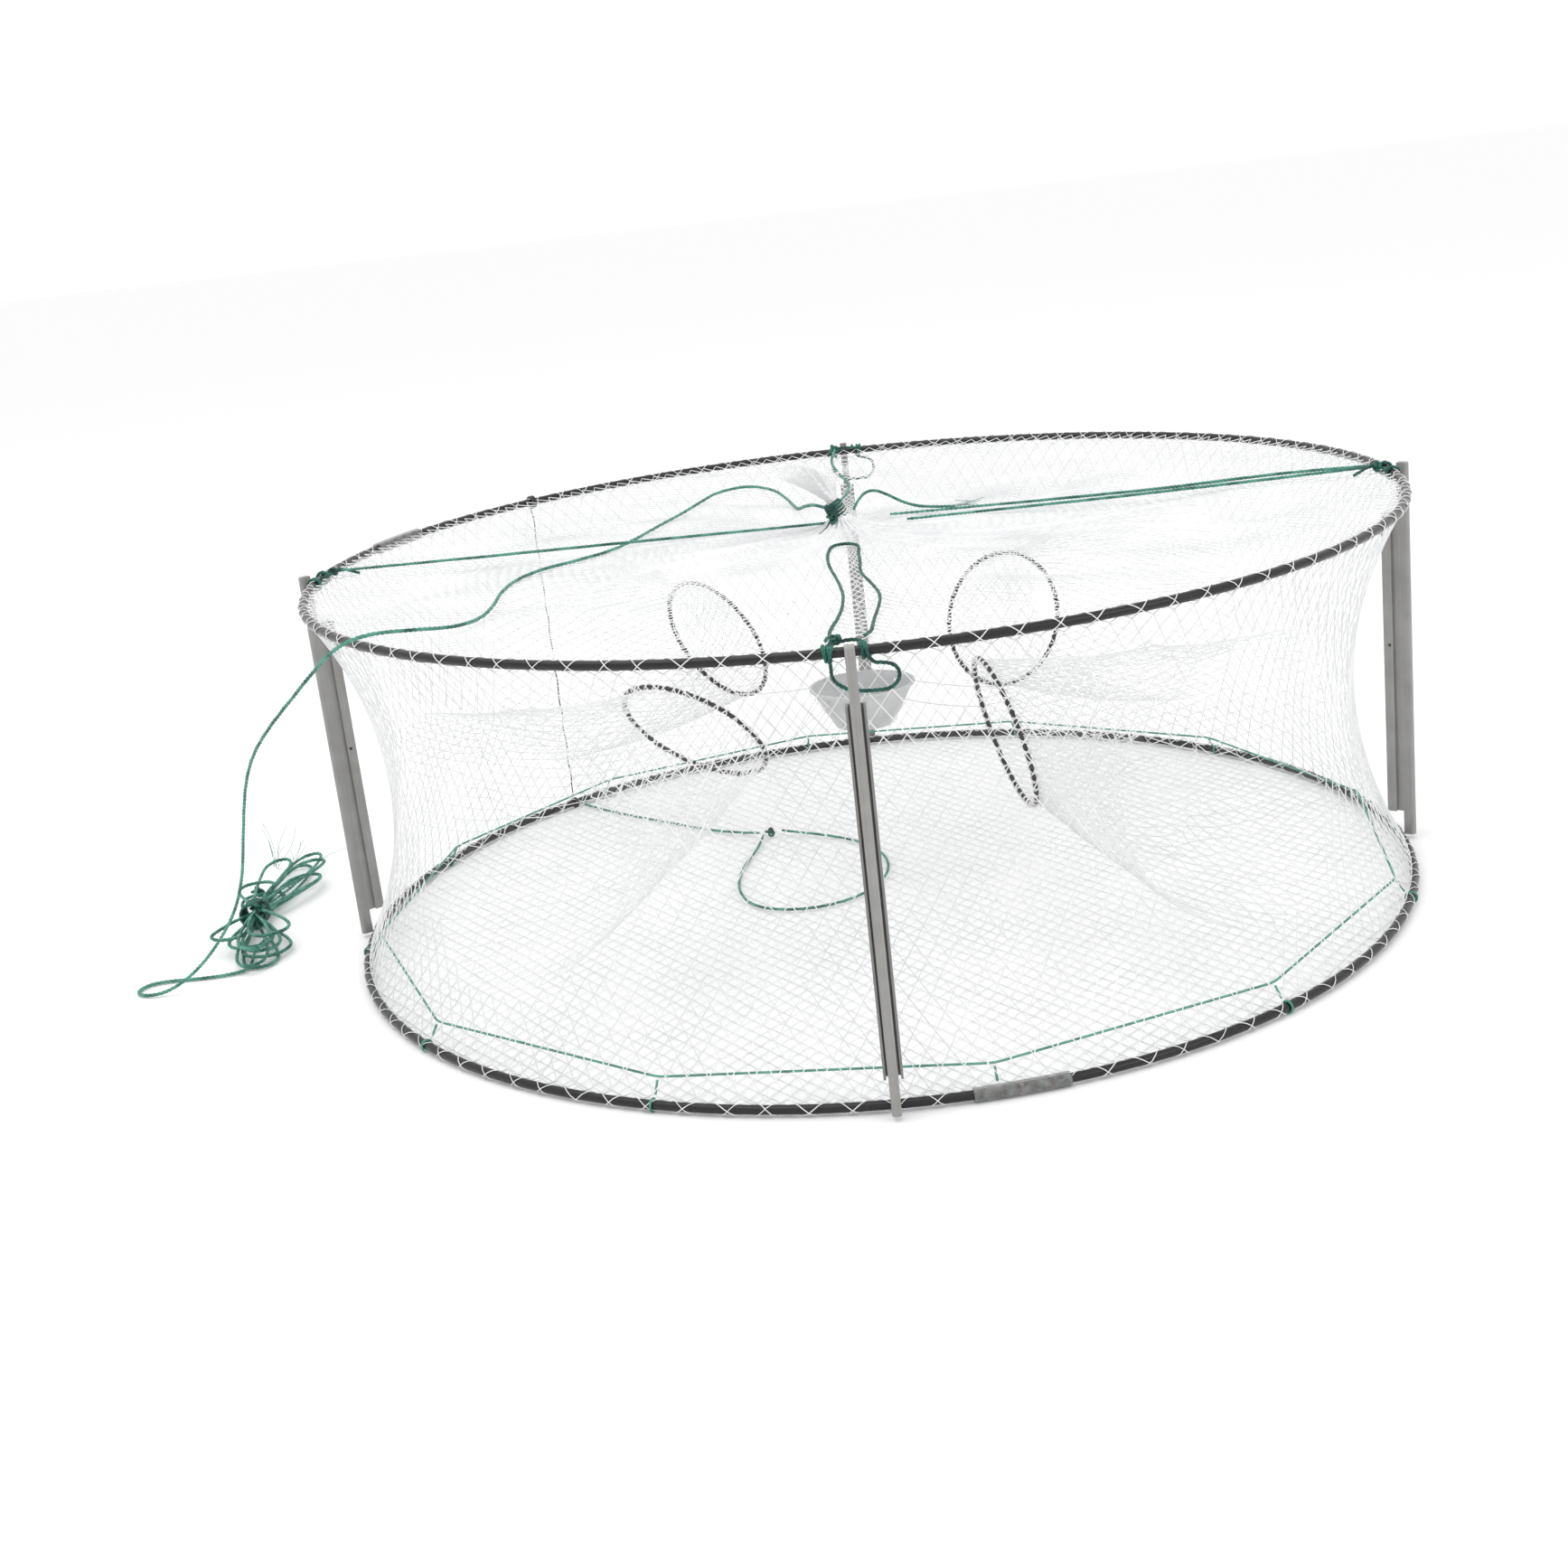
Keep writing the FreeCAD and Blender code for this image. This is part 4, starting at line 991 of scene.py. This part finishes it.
def top_place(turn, share):
    """A knot of the top net, from the hoop in to the neck, closer set as it narrows."""
    angle = turn * 2 * math.pi
    if share * TOP_ROWS < 0.5:
        radius, height = RING - 0.0028, HIGH + 0.0012
    elif share < NECK_START:
        radius = 0.3945 - 0.3875 * (share / NECK_START) ** 1.02
        fade = min(1, (TOP_EDGE - radius) / 0.04) * min(1, radius / 0.08)
        height = top_surface(radius) + top_ripple(turn, share * 6) * fade
        height += 0.0016 * math.sin(angle * 23) * math.exp(-radius / 0.05)
        radius += 0.0022 * math.sin(angle * 5 + 1) * fade
    else:
        rise = (share - NECK_START) / (1 - NECK_START)
        radius = 0.0068 - 0.0018 * rise
        height = top_surface(0.007) + (NECK_HEIGHT - top_surface(0.007)) * rise
    drawn = max(0, height - HIGH) / (NECK_HEIGHT - HIGH) * NECK_SHIFT
    return (radius * math.cos(angle) - drawn, radius * math.sin(angle), height)


start, end = diamonds(top_place, 208, TOP_ROWS)
top_threads = threads("top_net_threads", start, end, 0.00070)
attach(top_threads, "top_frame")


def top_veil_place(turn, share):
    radius = TOP_EDGE - 0.364 * share
    return on_circle(turn * 2 * math.pi, radius, top_surface(radius) - 0.0003)


top_veil = skin_piece("top_net_veil", top_veil_place, 144, 30)
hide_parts("top_net")
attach(top_veil, "top_frame")


# ---- Tuft of the gather --------------------------------------------------------------
# Above its binding the end of the net tube stands up in a loose crumpled bunch.

def tuft_place(turn, share):
    """A knot of the bunch: it fans out upwards in deep uneven folds, leaning left."""
    angle = turn * 2 * math.pi
    fold = 1 + 0.42 * share * math.sin(3 * angle + 0.7) + 0.25 * share * math.sin(7 * angle)
    radius = (0.0046 + 0.0125 * share ** 1.15) * fold
    height = NECK_HEIGHT + 0.0240 * share * (1 - 0.16 * math.sin(2 * angle + 1) * share)
    lean = 0.0205 * share
    return (radius * math.cos(angle) - NECK_SHIFT - lean, radius * math.sin(angle), height)


start, end = diamonds(tuft_place, 60, 8)
tuft_threads = threads("tuft_threads", start, end, 0.00060)
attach(tuft_threads, "top_frame")
tuft_veil = skin_piece("tuft_veil", tuft_place, 72, 12)
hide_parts("top_net_tuft")
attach(tuft_veil, "top_frame")

wound_piece("gather_binding", [
    winding((-0.0055, 0.0, HIGH + 0.0108), (-0.42, 0.0, 1), 0.0066, 7.5, 0.0024, phase=2),
    lump((-0.0085, -0.0075, HIGH + 0.0085), 0.0090, 10),
    [(-0.008, -0.004, HIGH + 0.010), (-0.012, -0.008, HIGH + 0.004),
     (-0.016, -0.012, HIGH + 0.000), (-0.020, -0.016, HIGH - 0.0015)],
], 0.0024, dark_green_cord, "top_frame", stands_for=("gather_wrap",))


# ---- Entry funnels -------------------------------------------------------------------
# Four cones of the same netting lead in from the wall, each to a small wire hoop that hangs
# in the middle of the trap. A crab can walk in along a cone but not find its way out.

def funnel_place(side):
    """A function that places the knots of one funnel, slack between mouth and hoop."""
    seed = sorted(ENTRIES).index(side)

    def place(turn, share):
        wide, narrow = funnel_line(side, turn % 1)
        step = (turn % 1) * MOUTH_STEPS
        low = int(step)
        start_share = (MOUTHS[side][low] * (1 - step + low)
                       + MOUTHS[side][min(low + 1, MOUTH_STEPS)] * (step - low))
        spot = wide.lerp(narrow, start_share + (1 - start_share) * share)
        belly = math.sin(share * math.pi)
        angle = (turn % 1) * 2 * math.pi
        pucker = belly * (0.0032 * math.sin(angle * 9 + seed)
                          + 0.0022 * math.sin(angle * 17 + seed * 2))
        centre = (wide + narrow) / 2
        spot.z -= 0.006 * belly
        spot += (centre - spot).normalized() * (0.004 * belly + pucker)
        return tuple(spot)
    return place


for side in ENTRIES:
    start, end = diamonds(funnel_place(side), 52, 20)
    funnel_threads = threads("funnel_threads_" + side, start, end, 0.00072)
    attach(funnel_threads, "base")
    funnel_veil = skin_piece("funnel_veil_" + side, funnel_place(side), 72, 18)
    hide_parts("entry_funnel_" + side)
    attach(funnel_veil, "base")
    crumples(funnel_threads)
    crumples(funnel_veil)
    dress("entry_hoop_" + side, coated_wire)


# ---- Lacing --------------------------------------------------------------------------
# Thin white twine wound round each hoop both ways, so that it crosses on the wire and
# gathers the edge of the netting to it.

def twine_finish():
    finish, shader, place = new_finish("white_twine", {"Specular IOR Level": 0.4})
    grain = noise(place, 1500.0, 2.0)
    shade = shaded(grain, [(0.35, (0.66, 0.66, 0.65)), (0.65, (0.86, 0.86, 0.85))])
    feed(shader, "Base Color", shade)
    feed(shader, "Roughness", grain * 0.2 + 0.4)
    feed(shader, "Normal", bumped(place, grain, 0.4, 0.0002))
    return finish


white_twine = twine_finish()


def hoop_winding(place_frame, hoop_radius, wire_radius, turns, hand, seed, skip=()):
    """The line of a twine wound round a hoop's wire, uneven as a hand leaves it."""
    wander = ripple(seed, (13, 29, 47), 0.20)
    steps = turns * 9
    lines = []
    line = []
    for step in range(steps + 1):
        share = step / steps
        angle = share * 2 * math.pi
        if any(abs((math.degrees(angle) - middle + 180) % 360 - 180) < reach
               for middle, reach in skip):
            if len(line) > 3:
                lines.append(np.array(line))
            line = []
            continue
        round_wire = hand * (share * turns * 2 * math.pi + wander(share, 0) * 2)
        out = hoop_radius + wire_radius * math.cos(round_wire)
        spot = Vector((out * math.cos(angle), out * math.sin(angle),
                       wire_radius * math.sin(round_wire)))
        line.append(place_frame @ spot)
    if len(line) > 3:
        lines.append(np.array(line))
    return lines


def lacing_piece(name, place_frame, hoop_radius, wire_radius, turns, thickness, body,
                 stands_for, skip=(), seed=1):
    """Two windings of twine that cross each other, as one piece."""
    parts = []
    for hand in (1, -1):
        for line in hoop_winding(place_frame, hoop_radius, wire_radius, turns, hand,
                                 seed + hand, skip):
            parts.append(tube_mesh(line, thickness / 2, 4))
    piece = mesh_piece(name, parts, white_twine)
    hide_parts(stands_for)
    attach(piece, body)
    return piece


# the lacing leaves out the ties and the sleeves: azimuth and half width, in degrees
TOP_GAPS = [(-90, 2.2), (0, 2.2), (90, 2.2), (180, 2.2), (158, 4.4)]
FOOT_GAPS = [(-79, 4.4)]
OVER_WIRE = 0.0036
TWINE_THICKNESS = 0.0007
lacing_piece("top_lacing_twine", Matrix.Translation((0, 0, HIGH)), RING, OVER_WIRE, 104,
             TWINE_THICKNESS, "top_frame", "top_ring_lacing", TOP_GAPS, seed=21)
lacing_piece("bottom_lacing_twine", Matrix.Translation((0, 0, LOW)), RING, OVER_WIRE, 96,
             TWINE_THICKNESS, "base", "bottom_ring_lacing", FOOT_GAPS, seed=31)
for side, (azimuth, height, facing, lean, mouth) in ENTRIES.items():
    level, rise, normal = entry_axes(facing, lean)
    turn = Matrix((level, rise, normal)).transposed().to_4x4()
    hoop_frame = Matrix.Translation(at_side(azimuth, HOOP_OUT, 0, height)) @ turn
    lacing_piece("hoop_twine_" + side, hoop_frame, 0.054, 0.0021, 44, 0.0010,
                 side + "_hoop", "entry_lacing_" + side, seed=len(side))


# ---- Foot twine ----------------------------------------------------------------------
# A thin green twine runs round inside the bottom hoop and is hitched to it every so often.

foot_twine = cord_finish("foot_twine", (0.10, 0.34, 0.26), (0.03, 0.17, 0.12), 0.5)
dress("foot_twine", foot_twine)
dress("foot_twine_ties", foot_twine)


# ---- Seam cord -----------------------------------------------------------------------
# A thin dark cord straight up the outside of the net where its two ends are laced together.

dark_twine = cord_finish("dark_twine", (0.06, 0.065, 0.065), (0.012, 0.014, 0.014), 0.5)
SEAM_AZIMUTH = 134
SEAM_OUT = 0.401
SEAM_FOOT = LOW + 0.0061
SEAM_TOP = HIGH - 0.0061
seam_points = []
for step in range(25):
    out = SEAM_OUT + 0.0006 * math.cos(step * 2.4)
    aside = 0.0012 * math.sin(step * 2.4)
    height = SEAM_FOOT + (SEAM_TOP - SEAM_FOOT) * step / 24
    seam_points.append(at_side(SEAM_AZIMUTH, out, aside, height))
seam = mesh_piece("seam_lacing_cord", twisted(
    smooth_line(seam_points, 8), 0.0015, 0.0055), dark_twine)
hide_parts("seam_cord")
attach(seam, "base")
crumples(seam)
dress("seam_foot_hitch", dark_twine)
dress("seam_top_hitch", dark_twine)


# ---- Props ---------------------------------------------------------------------------
# Four extruded grey plastic props hold the hoops apart. Each hooks over both hoops with the
# ends of its central rib, which stands out of a shallow channel.

def prop_finish():
    """Matt extruded plastic with faint die lines along it and a few rubbed spots."""
    finish, shader, place = new_finish("grey_plastic", {"Specular IOR Level": 0.45})
    drawn = place.node("ShaderNodeMapping", {"Vector": place, "Scale": (900, 900, 6)})
    lines = noise(drawn, 1.0, 3.0)
    spots = noise(place, 60.0, 4.0)
    shade = shaded(lines * 0.5 + spots * 0.5, [
        (0.32, (0.225, 0.222, 0.215)), (0.68, (0.31, 0.306, 0.297))])
    feed(shader, "Base Color", shade)
    feed(shader, "Roughness", lines * 0.2 + 0.32)
    feed(shader, "Normal", bumped(place, lines, 0.25, 0.0002))
    return finish


grey_plastic = prop_finish()
for side in ("front", "right", "back", "left"):
    dress(side + "_prop", grey_plastic)


# ---- Bait cup ------------------------------------------------------------------------
# A soft translucent moulded cup for bait, hung by four thin strings between the hoops.

def cup_finish():
    """Milky moulded plastic, with faint flow marks and soft gloss."""
    finish, shader, place = new_finish("cup_plastic", {
        "Specular IOR Level": 0.5})
    cloud = noise(place, 45.0, 4.0, 0.6)
    shade = shaded(cloud, [(0.30, (0.50, 0.505, 0.51)), (0.70, (0.62, 0.625, 0.63))])
    feed(shader, "Base Color", shade)
    feed(shader, "Roughness", cloud * 0.25 + 0.2)
    feed(shader, "Alpha", cloud * 0.2 + 0.78)
    feed(shader, "Normal", bumped(place, cloud, 0.15, 0.0006))
    return finish


dress("bait_cup", cup_finish())

CUP_RIM = 0.1328 + 0.031 - 0.006


def cup_strings():
    """Strings from the cup's rim out to the entry hoops, each with a little slack."""
    parts = []
    for side, (azimuth, height, facing, lean, mouth) in ENTRIES.items():
        level, rise, normal = entry_axes(facing, lean)
        centre = at_side(azimuth, HOOP_OUT, 0, height)
        towards = Vector((0, 0, CUP_RIM)) - centre
        in_plane = (towards - normal * towards.dot(normal)).normalized()
        far = centre + in_plane * 0.0567
        angle = math.degrees(math.atan2(far.y, far.x))
        near = at_side(angle, 0.0415, 0, CUP_RIM)
        middle = (near + far) / 2 - Vector((0, 0, 0.004))
        parts.append(tube_mesh(smooth_line([near, middle, far], 12), 0.0005, 4))
    return parts


strings = mesh_piece("cup_hanging_strings", cup_strings(), white_twine)
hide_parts("cup_tethers")
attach(strings, "base")
crumples(strings)


# ---- Floor ---------------------------------------------------------------------------
# Plain white, so that it melts into the surround.

floor_finish, floor_shader, _ = new_finish("floor_white", {
    "Base Color": (0.93, 0.93, 0.93, 1), "Roughness": 0.8, "Specular IOR Level": 0.2})
floor.data.materials.append(floor_finish)
